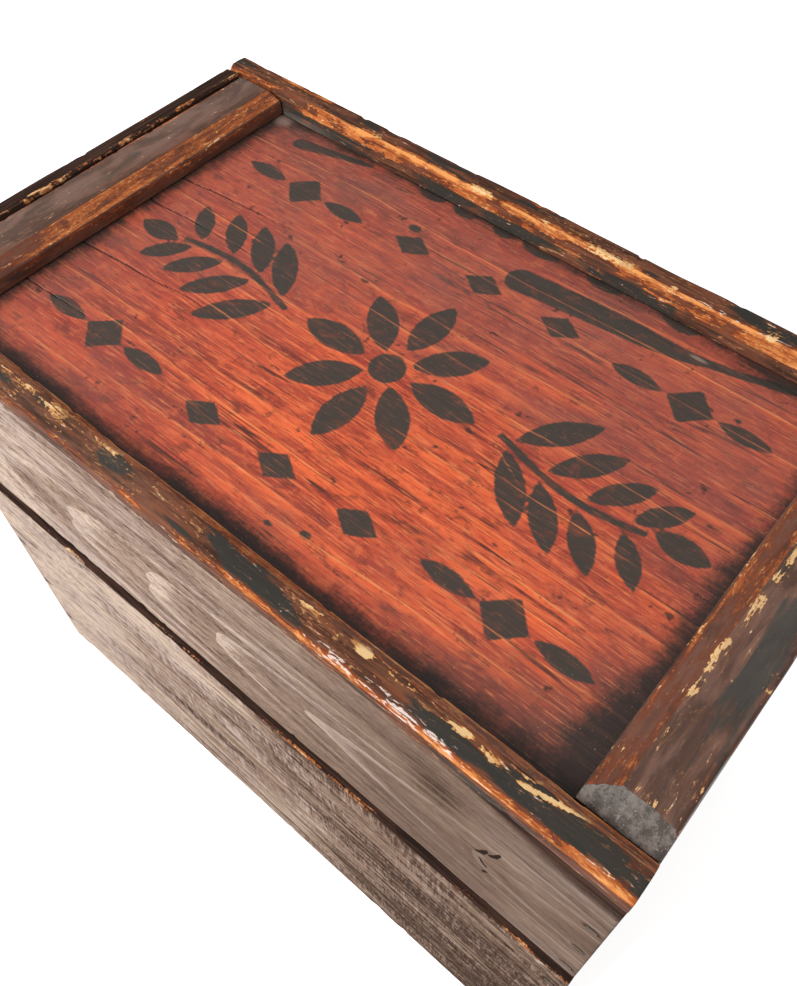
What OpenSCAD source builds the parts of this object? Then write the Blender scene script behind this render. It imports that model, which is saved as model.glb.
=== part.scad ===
// Wooden shop display box with a deep hinged lid.
// X runs along the length, -Y is the front, +Z is up, and the origin is under the middle of the base.

/* [Box] */
// Outside length of base and lid
box_length = 360; // [280:1:460]
// Outside depth of the base, front to back
box_depth = 215; // [170:1:300]
// Height of the base, floor to rim
base_height = 180; // [110:1:260]
// Height of the lid, rim to rail tops
lid_height = 122; // [80:1:180]
// Gap between the base rim and the lid rim
seam_gap = 0.8; // [0.5:0.1:1.6]
// How far the lid's front lies behind the base's front
lid_set_back = 3; // [1:0.5:6]

/* [Boards] */
// Thickness of the base's front and back boards
base_side_thick = 15; // [13:0.5:20]
// Thickness of the base's end boards
base_end_thick = 12; // [9:0.5:18]
// Thickness of the bottom boards
bottom_thick = 12; // [8:0.5:18]
// Gap between neighbouring bottom boards
bottom_gap = 0.4; // [0.2:0.1:1]
// Thickness of the lid's front and back boards
lid_side_thick = 13.5; // [13:0.5:20]
// Thickness of the lid's end boards
lid_end_thick = 9; // [7:0.5:14]
// Worn bevel along the rims
rim_ease = 1.4; // [0.4:0.1:2.5]

/* [Top] */
// Height of the front and back rails
rail_height = 11; // [8:0.5:18]
// Width of the front and back rails
rail_width = 14.5; // [13.5:0.5:22]
// How far a rail stands out over the board under it
rail_overhang = 1; // [0:0.25:2]
// Radius of a rail's outer edge
rail_round = 4; // [1:0.5:7]
// Bevel along a rail's inner edge
rail_bevel = 4.5; // [1:0.5:6]
// Depth of the panel's face below the rail tops
panel_recess = 9.5; // [6:0.5:14]
// Thickness of the panel
panel_thick = 10; // [7:0.5:16]
// Gap around the panel's edges
panel_gap = 0.3; // [0.1:0.1:1]
// Width of a batten
batten_width = 28; // [18:0.5:45]
// Width of the shallow bevel along a batten's inner edge
batten_bevel = 9; // [2:0.5:12]
// Drop of the shallow bevel along a batten's inner edge
batten_bevel_drop = 2.2; // [0.5:0.1:4]
// Open joint between the left batten and the left end
batten_joint = 1.2; // [0.3:0.1:3]
// Gap between a batten's ends and the rails
batten_end_gap = 0.4; // [0.2:0.1:1]
// How far the battens lie below the rail tops
batten_drop = 0.5; // [0:0.1:2]
// Length of the bevel on the right batten's front end
end_bevel_length = 10; // [4:0.5:20]
// Depth of the bevel on the right batten's front end
end_bevel_drop = 5; // [2:0.5:7]

/* [Hinges] */
// Angle to which the lid opens before its back edge meets the base
lid_opening = 100; // [90:1:120]
// Room left between the two back edges when the lid is fully open
stop_room = 0.5; // [0.3:0.1:1]
// Distance of the hinge pin in front of the back face
pin_depth = 4; // [3.5:0.1:6]
// Length of a hinge
hinge_length = 50; // [36:1:80]
// Distance from an end of the box to the middle of a hinge
hinge_inset = 72; // [50:1:120]
// Width of a leaf, from the pin to its inner edge
leaf_width = 8.5; // [8:0.5:9]
// Thickness of a leaf
leaf_thick = 1.3; // [1:0.1:2]
// Gap between the two closed leaves
leaf_gap = 0.4; // [0.3:0.1:0.8]
// Outer radius of the knuckles
knuckle_radius = 2.9; // [2.4:0.1:3.4]
// Gap between neighbouring knuckles, and between knuckles and leaves
knuckle_gap = 0.35; // [0.3:0.05:0.8]
// Radius of a hinge pin
pin_radius = 1.2; // [0.8:0.1:1.5]
// Running clearance between pin and knuckle
pin_clearance = 0.05; // [0.02:0.01:0.1]
// How far a pin stands out of its knuckles at each end
pin_tip = 0.6; // [0.2:0.1:1.5]
// Screws in a leaf
screw_count = 3; // [2:1:4]
// Length of a hinge screw
screw_length = 13; // [8:1:20]
// Radius of a screw's shank
screw_radius = 1; // [0.7:0.1:1.3]
// Radius of a screw's head
screw_head = 2; // [1.5:0.1:2.2]
// Width of the slot in a screw's head
screw_slot = 0.5; // [0.3:0.1:0.8]
// Depth of the slot in a screw's head
screw_slot_depth = 0.6; // [0.3:0.1:0.9]

/* [Nails] */
// Width of a nail's square shank
nail_width = 1.8; // [1.2:0.1:3]
// Length of a nail's head
nail_head_length = 4; // [2.5:0.1:6]
// Width of a nail's head
nail_head_width = 2.4; // [2:0.1:4]
// Thickness of a nail's head
nail_head_thick = 1; // [0.5:0.1:2]
// How far the rail and batten nails are punched below the surface
nail_sink = 0.8; // [0.2:0.1:2]
// Clearance of nails and screws in their holes
fit_gap = 0.05; // [0.02:0.01:0.1]
// Length of the corner nails
corner_nail = 36; // [26:1:50]
// Nails in each corner of the base
base_corner_nail_count = 4; // [2:1:6]
// Nails in each corner of the lid
lid_corner_nail_count = 3; // [2:1:5]
// Distance of the base's end corner nails from the rim and from the bottom boards
corner_margin = 18; // [10:1:30]
// Height of the lid's lowest corner nails above its rim
lid_nail_low = 10; // [8:0.5:20]
// Distance of the lid's highest corner nails below its rails
lid_nail_high = 41; // [20:0.5:48]
// Length of the bottom nails
bottom_nail = 30; // [20:1:45]
// Nails at each end of a bottom board
bottom_nail_count = 2; // [2:1:3]
// Distance of the end bottom nails from a bottom board's edges
bottom_nail_margin = 15; // [8:1:22]
// Length of the rail nails
rail_nail = 30; // [18:1:45]
// Nails in each rail
rail_nail_count = 5; // [3:1:7]
// Distance of the end rail nails from a rail's ends
rail_nail_margin = 24; // [14:1:40]
// Length of the batten nails
batten_nail = 15; // [12:0.5:17]
// Nails in each batten
batten_nail_count = 3; // [2:1:5]
// Distance of the end batten nails from a batten's ends
batten_nail_margin = 26; // [20:1:40]
// Length of the panel nails
panel_nail = 20; // [16:1:22]
// Nails in each end of the panel
panel_nail_count = 4; // [2:1:6]
// Distance of the end panel nails from the panel's edges
panel_nail_margin = 14; // [8:1:30]

/* [Hidden] */
$fn = 48;
// The bottom boards are named front, middle and back
bottom_count = 3;
// How far a cut runs past the face that it opens
cut_over = 1;

// Planes of the base
left_x = -box_length / 2;
right_x = box_length / 2;
front_y = -box_depth / 2;
back_y = box_depth / 2;
rim_z = base_height;
base_in_y = front_y + base_side_thick;
base_back_in_y = back_y - base_side_thick;

// Planes of the lid
lid_front_y = front_y + lid_set_back;
lid_in_y = lid_front_y + lid_side_thick;
lid_back_y = back_y - rail_overhang;
lid_back_in_y = lid_back_y - lid_side_thick;
lid_z = rim_z + seam_gap;
top_z = lid_z + lid_height;
rail_z = top_z - rail_height;
rail_front_y = lid_front_y - rail_overhang;
rail_in_y = rail_front_y + rail_width;
back_rail_in_y = back_y - rail_width;
panel_top_z = top_z - panel_recess;
panel_z = panel_top_z - panel_thick;
panel_left_x = left_x + lid_end_thick + panel_gap;
panel_front_y = max(rail_in_y, lid_in_y) + panel_gap;
panel_back_y = min(back_rail_in_y, lid_back_in_y) - panel_gap;
batten_top_z = top_z - batten_drop;
batten_front_y = rail_in_y + batten_end_gap;
batten_back_y = back_rail_in_y - batten_end_gap;
batten_length = batten_back_y - batten_front_y;
left_batten_x = left_x + lid_end_thick + batten_joint;
right_batten_x = right_x - batten_width;

// Hinge axis, and the two bevels that stop the lid at its opening angle
pin_y = back_y - pin_depth;
pin_z = rim_z + seam_gap / 2;
stop_y = pin_y - stop_room;
stop_slope = tan(lid_opening / 2);
base_stop_rise = (back_y - stop_y) * stop_slope;
lid_stop_rise = (lid_back_y - stop_y) * stop_slope;
stop_start_y = stop_y + seam_gap / 2 / stop_slope;
hinge_xs = [left_x + hinge_inset, right_x - hinge_inset];
knuckle_length = (hinge_length - 2 * knuckle_gap) / 3;
leaf_edge_y = pin_y - leaf_width;
screw_y = (leaf_edge_y + pin_y - knuckle_radius) / 2;
screw_pitch = hinge_length / screw_count;

// Even spacing of count places between two ends
function spaced(from, to, count) = [for (i = [0 : count - 1]) from + (to - from) * i / (count - 1)];

// A section in Y and Z, carried along X
module along_x(from, to) {
    translate([from, 0, 0])
        rotate([90, 0, 90])
            linear_extrude(to - from)
                children();
}

// A plain board between two opposite corners
module board(low, high) {
    translate(low)
        cube(high - low);
}

// A cut nail that points down from its head's top face, grown all round by a clearance to make its hole.
// The hole of a sunk nail is open above the head
module nail(length, grow = 0, sunk = 0) {
    well = grow > 0 && sunk > 0 ? sunk + cut_over : 0;
    head = [nail_head_length + 2 * grow, nail_head_width + 2 * grow, nail_head_thick + well];
    shank = [nail_width + 2 * grow, nail_width + 2 * grow, length + grow];
    translate([-head.x / 2, -head.y / 2, -nail_head_thick])
        cube(head);
    translate([-shank.x / 2, -shank.y / 2, -shank.z])
        cube(shank);
}

// Nails through the front and back boards into the end boards
module corner_nail_set(nail_front_y, nail_back_y, end_thick, heights, grow = 0) {
    for (side = [-1, 1], z = heights) {
        x = side * (right_x - end_thick / 2);
        translate([x, nail_front_y, z])
            rotate([90, 0, 0])
                nail(corner_nail, grow);
        translate([x, nail_back_y, z])
            rotate([-90, 0, 0])
                nail(corner_nail, grow);
    }
}

module base_corner_nail_set(grow = 0) {
    from = bottom_thick + corner_margin;
    to = rim_z - corner_margin;
    heights = spaced(from, to, base_corner_nail_count);
    corner_nail_set(front_y, back_y, base_end_thick, heights, grow);
}

module lid_corner_nail_set(grow = 0) {
    from = lid_z + lid_nail_low;
    to = rail_z - lid_nail_high;
    heights = spaced(from, to, lid_corner_nail_count);
    corner_nail_set(lid_front_y, lid_back_y, lid_end_thick, heights, grow);
}

// Nails through the end boards into the bottom boards
bottom_board_depth = (base_back_in_y - base_in_y - (bottom_count - 1) * bottom_gap) / bottom_count;

function bottom_board_y(i) = base_in_y + i * (bottom_board_depth + bottom_gap);

module bottom_nail_set(grow = 0) {
    for (i = [0 : bottom_count - 1]) {
        from = bottom_board_y(i) + bottom_nail_margin;
        to = bottom_board_y(i + 1) - bottom_gap - bottom_nail_margin;
        for (y = spaced(from, to, bottom_nail_count)) {
            translate([left_x, y, bottom_thick / 2])
                rotate([0, -90, 0])
                    nail(bottom_nail, grow);
            translate([right_x, y, bottom_thick / 2])
                rotate([0, 90, 0])
                    nail(bottom_nail, grow);
        }
    }
}

// Nails down through the rails into the lid's front and back boards
module rail_nail_set(grow = 0) {
    front_nail_y = (max(rail_front_y, lid_front_y) + min(rail_in_y, lid_in_y)) / 2;
    back_nail_y = (min(back_y, lid_back_y) + max(back_rail_in_y, lid_back_in_y)) / 2;
    for (x = spaced(left_x + rail_nail_margin, right_x - rail_nail_margin, rail_nail_count)) {
        for (y = [front_nail_y, back_nail_y]) {
            translate([x, y, top_z - nail_sink])
                nail(rail_nail, grow, nail_sink);
        }
    }
}

// Nails down through the battens into the panel
module batten_nail_set(grow = 0) {
    from = batten_front_y + batten_nail_margin;
    to = batten_back_y - batten_nail_margin;
    left_nail_x = left_batten_x + batten_width / 2;
    right_nail_x = right_batten_x + batten_bevel + (batten_width - batten_bevel) / 3;
    for (y = spaced(from, to, batten_nail_count), x = [left_nail_x, right_nail_x]) {
        translate([x, y, batten_top_z - nail_sink])
            rotate([0, 0, 90])
                nail(batten_nail, grow, nail_sink);
    }
}

// Nails through the left end into the panel's edge, and down through the panel into the right end
module panel_nail_set(grow = 0) {
    from = panel_front_y + panel_nail_margin;
    to = panel_back_y - panel_nail_margin;
    for (y = spaced(from, to, panel_nail_count)) {
        translate([left_x, y, panel_z + panel_thick / 2])
            rotate([0, -90, 0])
                nail(panel_nail, grow);
        translate([right_x - lid_end_thick / 2, y, panel_top_z])
            rotate([0, 0, 90])
                nail(panel_nail, grow);
    }
}

// A countersunk screw that points down from its slotted head, grown by a clearance to make its plain hole
module screw(grow = 0) {
    difference() {
        union() {
            translate([0, 0, -leaf_thick])
                cylinder(h = leaf_thick, r1 = screw_radius + grow, r2 = screw_head + grow);
            translate([0, 0, -screw_length - grow])
                cylinder(h = screw_length + grow, r = screw_radius + grow);
        }
        if (grow == 0) {
            translate([-screw_head - cut_over, -screw_slot / 2, -screw_slot_depth])
                cube([2 * (screw_head + cut_over), screw_slot, screw_slot_depth + cut_over]);
        }
    }
}

// Screws of the leaves on one side of the seam: side is 1 for the lid, -1 for the base
module hinge_screw_set(side, grow = 0) {
    for (x = hinge_xs, i = [0 : screw_count - 1]) {
        screw_x = x + (i - (screw_count - 1) / 2) * screw_pitch;
        translate([screw_x, screw_y, pin_z + side * leaf_gap / 2])
            rotate([side > 0 ? 180 : 0, 0, 0])
                screw(grow);
    }
}

// Room for the knuckles and one leaf in the edge of a back board
module hinge_seat(side) {
    room = hinge_length / 2 + pin_tip + knuckle_gap;
    seat_z = side > 0 ? pin_z : pin_z - leaf_gap / 2 - leaf_thick;
    for (x = hinge_xs) {
        translate([x - room, pin_y, pin_z])
            rotate([0, 90, 0])
                cylinder(h = 2 * room, r = knuckle_radius + knuckle_gap);
        translate([x - hinge_length / 2 - fit_gap, leaf_edge_y - fit_gap, seat_z])
            cube([hinge_length + 2 * fit_gap, leaf_width + fit_gap, leaf_gap / 2 + leaf_thick]);
    }
}

// One knuckle about the hinge axis, from one place along X to another
module knuckle(from, to) {
    translate([from, pin_y, pin_z])
        rotate([0, 90, 0])
            cylinder(h = to - from, r = knuckle_radius);
}

// One leaf: a plate with screw holes, rolled into knuckles at the pin.
// Side is 1 for the lid, -1 for the base
module hinge_leaf(x, side) {
    plate_z = side > 0 ? pin_z + leaf_gap / 2 : pin_z - leaf_gap / 2 - leaf_thick;
    start = x - hinge_length / 2;
    pitch = knuckle_length + knuckle_gap;
    own = side > 0 ? [1] : [0, 2];
    other = side > 0 ? [0, 2] : [1];
    color("dimgray")
        difference() {
            union() {
                translate([start, leaf_edge_y, plate_z])
                    cube([hinge_length, leaf_width, leaf_thick]);
                for (i = own) {
                    knuckle(start + i * pitch, start + i * pitch + knuckle_length);
                }
            }
            for (i = other) {
                translate([start + i * pitch - knuckle_gap, pin_y, pin_z])
                    rotate([0, 90, 0])
                        cylinder(h = knuckle_length + 2 * knuckle_gap, r = knuckle_radius + knuckle_gap);
            }
            translate([start - cut_over, pin_y, pin_z])
                rotate([0, 90, 0])
                    cylinder(h = hinge_length + 2 * cut_over, r = pin_radius + pin_clearance);
            hinge_screw_set(side, fit_gap);
        }
}

module hinge_pin(x) {
    color("gray")
        translate([x - hinge_length / 2 - pin_tip, pin_y, pin_z])
            rotate([0, 90, 0])
                cylinder(h = hinge_length + 2 * pin_tip, r = pin_radius);
}

// Base boards
module base_front_board() {
    color("rosybrown")
        difference() {
            along_x(left_x, right_x)
                polygon([
                    [front_y, 0],
                    [base_in_y, 0],
                    [base_in_y, rim_z],
                    [front_y + rim_ease, rim_z],
                    [front_y, rim_z - rim_ease]
                ]);
            base_corner_nail_set(fit_gap);
        }
}

module base_back_board() {
    color("rosybrown")
        difference() {
            along_x(left_x, right_x)
                polygon([
                    [base_back_in_y, 0],
                    [back_y, 0],
                    [back_y, pin_z - base_stop_rise],
                    [stop_start_y, rim_z],
                    [base_back_in_y, rim_z]
                ]);
            base_corner_nail_set(fit_gap);
            hinge_seat(-1);
            hinge_screw_set(-1, fit_gap);
        }
}

module base_end(x) {
    color("tan")
        difference() {
            board([x, base_in_y, 0], [x + base_end_thick, base_back_in_y, rim_z]);
            base_corner_nail_set(fit_gap);
            bottom_nail_set(fit_gap);
        }
}

module base_left_end() {
    base_end(left_x);
}

module base_right_end() {
    base_end(right_x - base_end_thick);
}

module bottom_board(i) {
    y = bottom_board_y(i);
    color("burlywood")
        difference() {
            board(
                [left_x + base_end_thick, y, 0],
                [right_x - base_end_thick, y + bottom_board_depth, bottom_thick]
            );
            bottom_nail_set(fit_gap);
        }
}

module bottom_front_board() {
    bottom_board(0);
}

module bottom_middle_board() {
    bottom_board(1);
}

module bottom_back_board() {
    bottom_board(2);
}

module base_corner_nails() {
    color("dimgray")
        base_corner_nail_set();
}

module bottom_nails() {
    color("dimgray")
        bottom_nail_set();
}

// Lid boards
module lid_front_board() {
    color("rosybrown")
        difference() {
            along_x(left_x, right_x)
                polygon([
                    [lid_front_y + rim_ease, lid_z],
                    [lid_in_y, lid_z],
                    [lid_in_y, rail_z],
                    [lid_front_y, rail_z],
                    [lid_front_y, lid_z + rim_ease]
                ]);
            lid_corner_nail_set(fit_gap);
            rail_nail_set(fit_gap);
        }
}

module lid_back_board() {
    color("rosybrown")
        difference() {
            along_x(left_x, right_x)
                polygon([
                    [lid_back_in_y, lid_z],
                    [stop_start_y, lid_z],
                    [lid_back_y, pin_z + lid_stop_rise],
                    [lid_back_y, rail_z],
                    [lid_back_in_y, rail_z]
                ]);
            lid_corner_nail_set(fit_gap);
            rail_nail_set(fit_gap);
            hinge_seat(1);
            hinge_screw_set(1, fit_gap);
        }
}

// The left end rises between the rails to their tops
module lid_left_end() {
    color("saddlebrown")
        difference() {
            union() {
                board([left_x, lid_in_y, lid_z], [left_x + lid_end_thick, lid_back_in_y, rail_z]);
                board([left_x, rail_in_y, rail_z], [left_x + lid_end_thick, back_rail_in_y, top_z]);
            }
            lid_corner_nail_set(fit_gap);
            panel_nail_set(fit_gap);
        }
}

// The right end stops under the panel
module lid_right_end() {
    color("saddlebrown")
        difference() {
            board([right_x - lid_end_thick, lid_in_y, lid_z], [right_x, lid_back_in_y, panel_z]);
            lid_corner_nail_set(fit_gap);
            panel_nail_set(fit_gap);
        }
}

module lid_panel() {
    color("firebrick")
        difference() {
            board([panel_left_x, panel_front_y, panel_z], [right_x, panel_back_y, panel_top_z]);
            panel_nail_set(fit_gap);
            batten_nail_set(fit_gap);
        }
}

// Section of a rail, from its outer face, with a round outer edge and a bevelled inner edge
module rail_section() {
    difference() {
        square([rail_width, rail_height]);
        difference() {
            translate([-cut_over, rail_height - rail_round])
                square(rail_round + cut_over);
            translate([rail_round, rail_height - rail_round])
                circle(rail_round);
        }
        polygon([
            [rail_width - rail_bevel - cut_over, rail_height + cut_over],
            [rail_width + cut_over, rail_height + cut_over],
            [rail_width + cut_over, rail_height - rail_bevel - cut_over]
        ]);
    }
}

module front_rail() {
    color("#2b211d")
        difference() {
            along_x(left_x, right_x)
                translate([rail_front_y, rail_z])
                    rail_section();
            rail_nail_set(fit_gap);
        }
}

module back_rail() {
    color("#2b211d")
        difference() {
            along_x(left_x, right_x)
                translate([back_y, rail_z])
                    mirror([1, 0])
                        rail_section();
            rail_nail_set(fit_gap);
        }
}

// A batten from its outer side, with its inner edge bevelled
module batten() {
    batten_height = batten_top_z - panel_top_z;
    translate([0, batten_back_y, panel_top_z])
        rotate([90, 0, 0])
            linear_extrude(batten_length)
                polygon([
                    [0, 0],
                    [batten_width, 0],
                    [batten_width, batten_height - batten_bevel_drop],
                    [batten_width - batten_bevel, batten_height],
                    [0, batten_height]
                ]);
}

module left_batten() {
    color("#3a2620")
        difference() {
            translate([left_batten_x, 0, 0])
                batten();
            batten_nail_set(fit_gap);
        }
}

module right_batten() {
    slope = end_bevel_drop / end_bevel_length;
    color("#3a2620")
        difference() {
            translate([right_x, 0, 0])
                mirror([1, 0, 0])
                    batten();
            batten_nail_set(fit_gap);
            along_x(right_batten_x - cut_over, right_x + cut_over)
                polygon([
                    [batten_front_y - cut_over, batten_top_z - end_bevel_drop - cut_over * slope],
                    [batten_front_y + end_bevel_length + cut_over, batten_top_z + cut_over * slope],
                    [batten_front_y - cut_over, batten_top_z + cut_over]
                ]);
        }
}

module lid_corner_nails() {
    color("dimgray")
        lid_corner_nail_set();
}

module rail_nails() {
    color("dimgray")
        rail_nail_set();
}

module batten_nails() {
    color("dimgray")
        batten_nail_set();
}

module panel_nails() {
    color("dimgray")
        panel_nail_set();
}

// Hinges
module left_hinge_base_leaf() {
    hinge_leaf(hinge_xs[0], -1);
}

module left_hinge_lid_leaf() {
    hinge_leaf(hinge_xs[0], 1);
}

module left_hinge_pin() {
    hinge_pin(hinge_xs[0]);
}

module right_hinge_base_leaf() {
    hinge_leaf(hinge_xs[1], -1);
}

module right_hinge_lid_leaf() {
    hinge_leaf(hinge_xs[1], 1);
}

module right_hinge_pin() {
    hinge_pin(hinge_xs[1]);
}

module base_hinge_screws() {
    color("gray")
        hinge_screw_set(-1);
}

module lid_hinge_screws() {
    color("gray")
        hinge_screw_set(1);
}

base_front_board();
base_back_board();
base_left_end();
base_right_end();
bottom_front_board();
bottom_middle_board();
bottom_back_board();
base_corner_nails();
bottom_nails();
lid_front_board();
lid_back_board();
lid_left_end();
lid_right_end();
lid_panel();
front_rail();
back_rail();
left_batten();
right_batten();
lid_corner_nails();
rail_nails();
batten_nails();
panel_nails();
left_hinge_base_leaf();
left_hinge_lid_leaf();
left_hinge_pin();
right_hinge_base_leaf();
right_hinge_lid_leaf();
right_hinge_pin();
base_hinge_screws();
lid_hinge_screws();
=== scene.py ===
"""Looks of a wooden shop display box: worn boards, rails and battens round a stained, stencilled panel."""

import bpy
import numpy as np
from bpy.props import FloatProperty, FloatVectorProperty, PointerProperty
from mathutils import Matrix, Vector


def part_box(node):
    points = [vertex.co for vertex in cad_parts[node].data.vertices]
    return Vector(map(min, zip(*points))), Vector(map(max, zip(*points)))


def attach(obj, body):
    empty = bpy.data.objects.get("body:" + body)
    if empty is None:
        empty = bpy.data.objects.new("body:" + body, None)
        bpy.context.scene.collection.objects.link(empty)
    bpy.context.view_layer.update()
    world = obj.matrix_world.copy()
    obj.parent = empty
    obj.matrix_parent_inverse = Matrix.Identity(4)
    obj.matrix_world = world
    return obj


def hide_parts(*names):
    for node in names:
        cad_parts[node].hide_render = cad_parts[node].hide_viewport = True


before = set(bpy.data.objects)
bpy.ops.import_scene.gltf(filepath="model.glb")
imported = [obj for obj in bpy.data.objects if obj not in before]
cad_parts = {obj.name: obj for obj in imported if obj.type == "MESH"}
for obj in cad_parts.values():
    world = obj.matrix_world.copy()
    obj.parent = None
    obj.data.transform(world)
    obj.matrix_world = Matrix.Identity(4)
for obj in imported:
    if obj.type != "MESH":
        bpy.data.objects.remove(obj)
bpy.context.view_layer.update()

bl_info = {
    "name": "Shop display box",
    "version": (1, 0, 0),
    "blender": (4, 5, 0),
    "location": "3D View > Sidebar > Display box",
    "description": "Dresses the packed display box in worn paint, stained pine and greyed boards",
    "category": "Object",
}

MM = 0.001

# Lengths of the box in millimetres

HALF_LENGTH = 180.0
BACK_STOP = 103.336
LID_STOP_RISE = 3.77
BASE_STOP_DROP = 4.96
SEAT_MARGIN = 0.95
LID_END_THICK = 9.0
BASE_END_THICK = 12.0
LID_NAIL_HEIGHTS = (190.8, 220.8, 250.8)
BASE_NAIL_HEIGHTS = np.linspace(30, 162, 4)
BOTTOM_BOARDS = ("bottom_front_board", "bottom_middle_board", "bottom_back_board")

# Sizes of the rings that close a board's end, as shares of its section

CAP_RINGS = np.array([0.97, 0.72, 0.36])

# The camera: its frame in pixels, its sensor in millimetres, its place in metres and its axes

PHOTO_WIDE, PHOTO_HIGH = 797.0, 986.0
PHOTO_CENTRE = (412.40, 485.12)
FOCAL_PIXELS = 952.27
SENSOR = 36.0
CAMERA_PLACE = (0.17217, -0.18242, 0.56232)
CAMERA_RIGHT = (0.765761, 0.643112, -0.004088)
CAMERA_DOWN = (0.521336, -0.624458, -0.581602)
CAMERA_AHEAD = (-0.376588, 0.443238, -0.813463)


def shade(name, description, default):
    """A colour that a user can change."""
    return FloatVectorProperty(
        name=name, description=description, default=default, size=4, subtype="COLOR", min=0, max=1
    )


def length(name, description, default):
    """A length that a user can change, in metres."""
    return FloatProperty(name=name, description=description, default=default, unit="LENGTH", min=0)


class BoxSizes(bpy.types.PropertyGroup):
    """Sizes of the wear and of the mouldings, in metres."""

    rail_round: length("Rail round", "Radius of a rail's outer edge", 0.0026)
    rail_bevel: length("Rail bevel", "Bevel along a rail's inner edge", 0.0045)
    batten_bevel: length("Batten bevel", "Width of the bevel along a batten's inner edge", 0.009)
    batten_drop: length("Batten drop", "Drop of the bevel along a batten's inner edge", 0.0022)
    end_bevel: length("End bevel", "Length of the bevel on the right batten's front end", 0.010)
    end_drop: length("End drop", "Depth of the bevel on the right batten's front end", 0.005)
    edge_wear: length("Edge wear", "Depth to which a painted edge is rubbed away", 0.0006)
    board_wear: length("Board wear", "Depth to which a bare board's edge is rubbed away", 0.0012)
    weathering: length("Weathering", "How far bare faces have shrunk behind the nail heads", 0.0002)
    leaf_seat: length("Leaf seat", "Depth of the hinge leaves' seats in the rims", 0.0011)


class BoxColours(bpy.types.PropertyGroup):
    """Colours of the finishes."""

    paint: shade("Paint", "Old dark brown paint", (0.058, 0.031, 0.022, 1))
    varnish: shade("Varnish", "Brown varnish between the dark patches", (0.195, 0.084, 0.048, 1))
    thin_paint: shade("Thin paint", "Paint rubbed thin over red stain", (0.170, 0.044, 0.021, 1))
    worn_wood: shade("Worn wood", "Orange wood where paint has gone", (0.53, 0.150, 0.043, 1))
    pale_wood: shade("Pale wood", "Fresh wood in chips", (0.84, 0.56, 0.27, 1))
    stain: shade("Stain", "Red-orange stain of the panel", (0.460, 0.059, 0.036, 1))
    stain_light: shade("Light stain", "Orange streaks in the panel", (0.76, 0.114, 0.048, 1))
    stain_dark: shade("Dark stain", "Brown streaks in the panel", (0.135, 0.034, 0.020, 1))
    stencil: shade("Stencil", "Dark stencil paint on the panel", (0.051, 0.046, 0.038, 1))
    planed: shade("Planed wood", "Greyed planed wood", (0.330, 0.225, 0.170, 1))
    rough: shade("Rough wood", "Greyed rough-sawn wood", (0.320, 0.215, 0.158, 1))
    bleached: shade("Bleached wood", "Wood bleached by light", (0.640, 0.500, 0.400, 1))
    inner: shade("Inner wood", "Bare wood inside", (0.46, 0.31, 0.18, 1))
    iron: shade("Iron", "Rusted nail iron", (0.060, 0.038, 0.028, 1))
    brass: shade("Brass", "Dull brass of the hinges", (0.42, 0.29, 0.12, 1))


# Numbers that stand for chance


def fixed_chance(cells, seed):
    """Fixed values from -1 to 1, one per whole-numbered cell: the indices are mixed by large odd factors."""
    factors = np.array([0x9E3779B1, 0x85EBCA77, 0xC2B2AE3D], np.uint64)[: cells.shape[-1]]
    mixed = (cells.astype(np.int64).astype(np.uint64) * factors).sum(-1, dtype=np.uint64)
    mixed = mixed + np.uint64(seed * 668265263)
    mixed = (mixed ^ (mixed >> np.uint64(15))) * np.uint64(0x2545F4914F6CDD1D)
    mixed = mixed ^ (mixed >> np.uint64(29))
    return (mixed & np.uint64(0xFFFFFF)).astype(float) / 0x7FFFFF - 1


def drift(places, cell, seed):
    """Smooth noise from -1 to 1: chance values at a lattice's corners, blended by smooth steps."""
    scaled = np.stack([np.asarray(p, float) / c for p, c in zip(places, cell)], -1)
    corner = np.floor(scaled)
    part = scaled - corner
    part = part * part * (3 - 2 * part)
    total = np.zeros(scaled.shape[:-1])
    for offset in np.ndindex(*(2,) * scaled.shape[-1]):
        share = np.prod(np.where(np.array(offset) == 1, part, 1 - part), axis=-1)
        total = total + share * fixed_chance(corner + np.array(offset), seed)
    return total


def rough_drift(places, cell, seed, octaves=3):
    """Drift summed over halving cells, each layer half as strong as the last."""
    layers = [drift(places, [c / 2**k for c in cell], seed + 17 * k) / 2**k for k in range(octaves)]
    return sum(layers)


def wander(value, cell, seed):
    """Drift along one direction."""
    return drift([value], (cell,), seed)


def ramp(value, low, high):
    """Smooth step from 0 at low to 1 at high."""
    part = np.clip((np.asarray(value, float) - low) / (high - low), 0, 1)
    return part * part * (3 - 2 * part)


def bump(value, middle, width):
    """Bell curve of height 1 about a middle."""
    return np.exp(-(((np.asarray(value, float) - middle) / width) ** 2))


def patchy(value, cell, seed, low, high):
    """Patches from 0 to 1 along one direction: a smooth step of its drift."""
    return ramp(wander(value, cell, seed), low, high)


# Board surfaces


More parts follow.
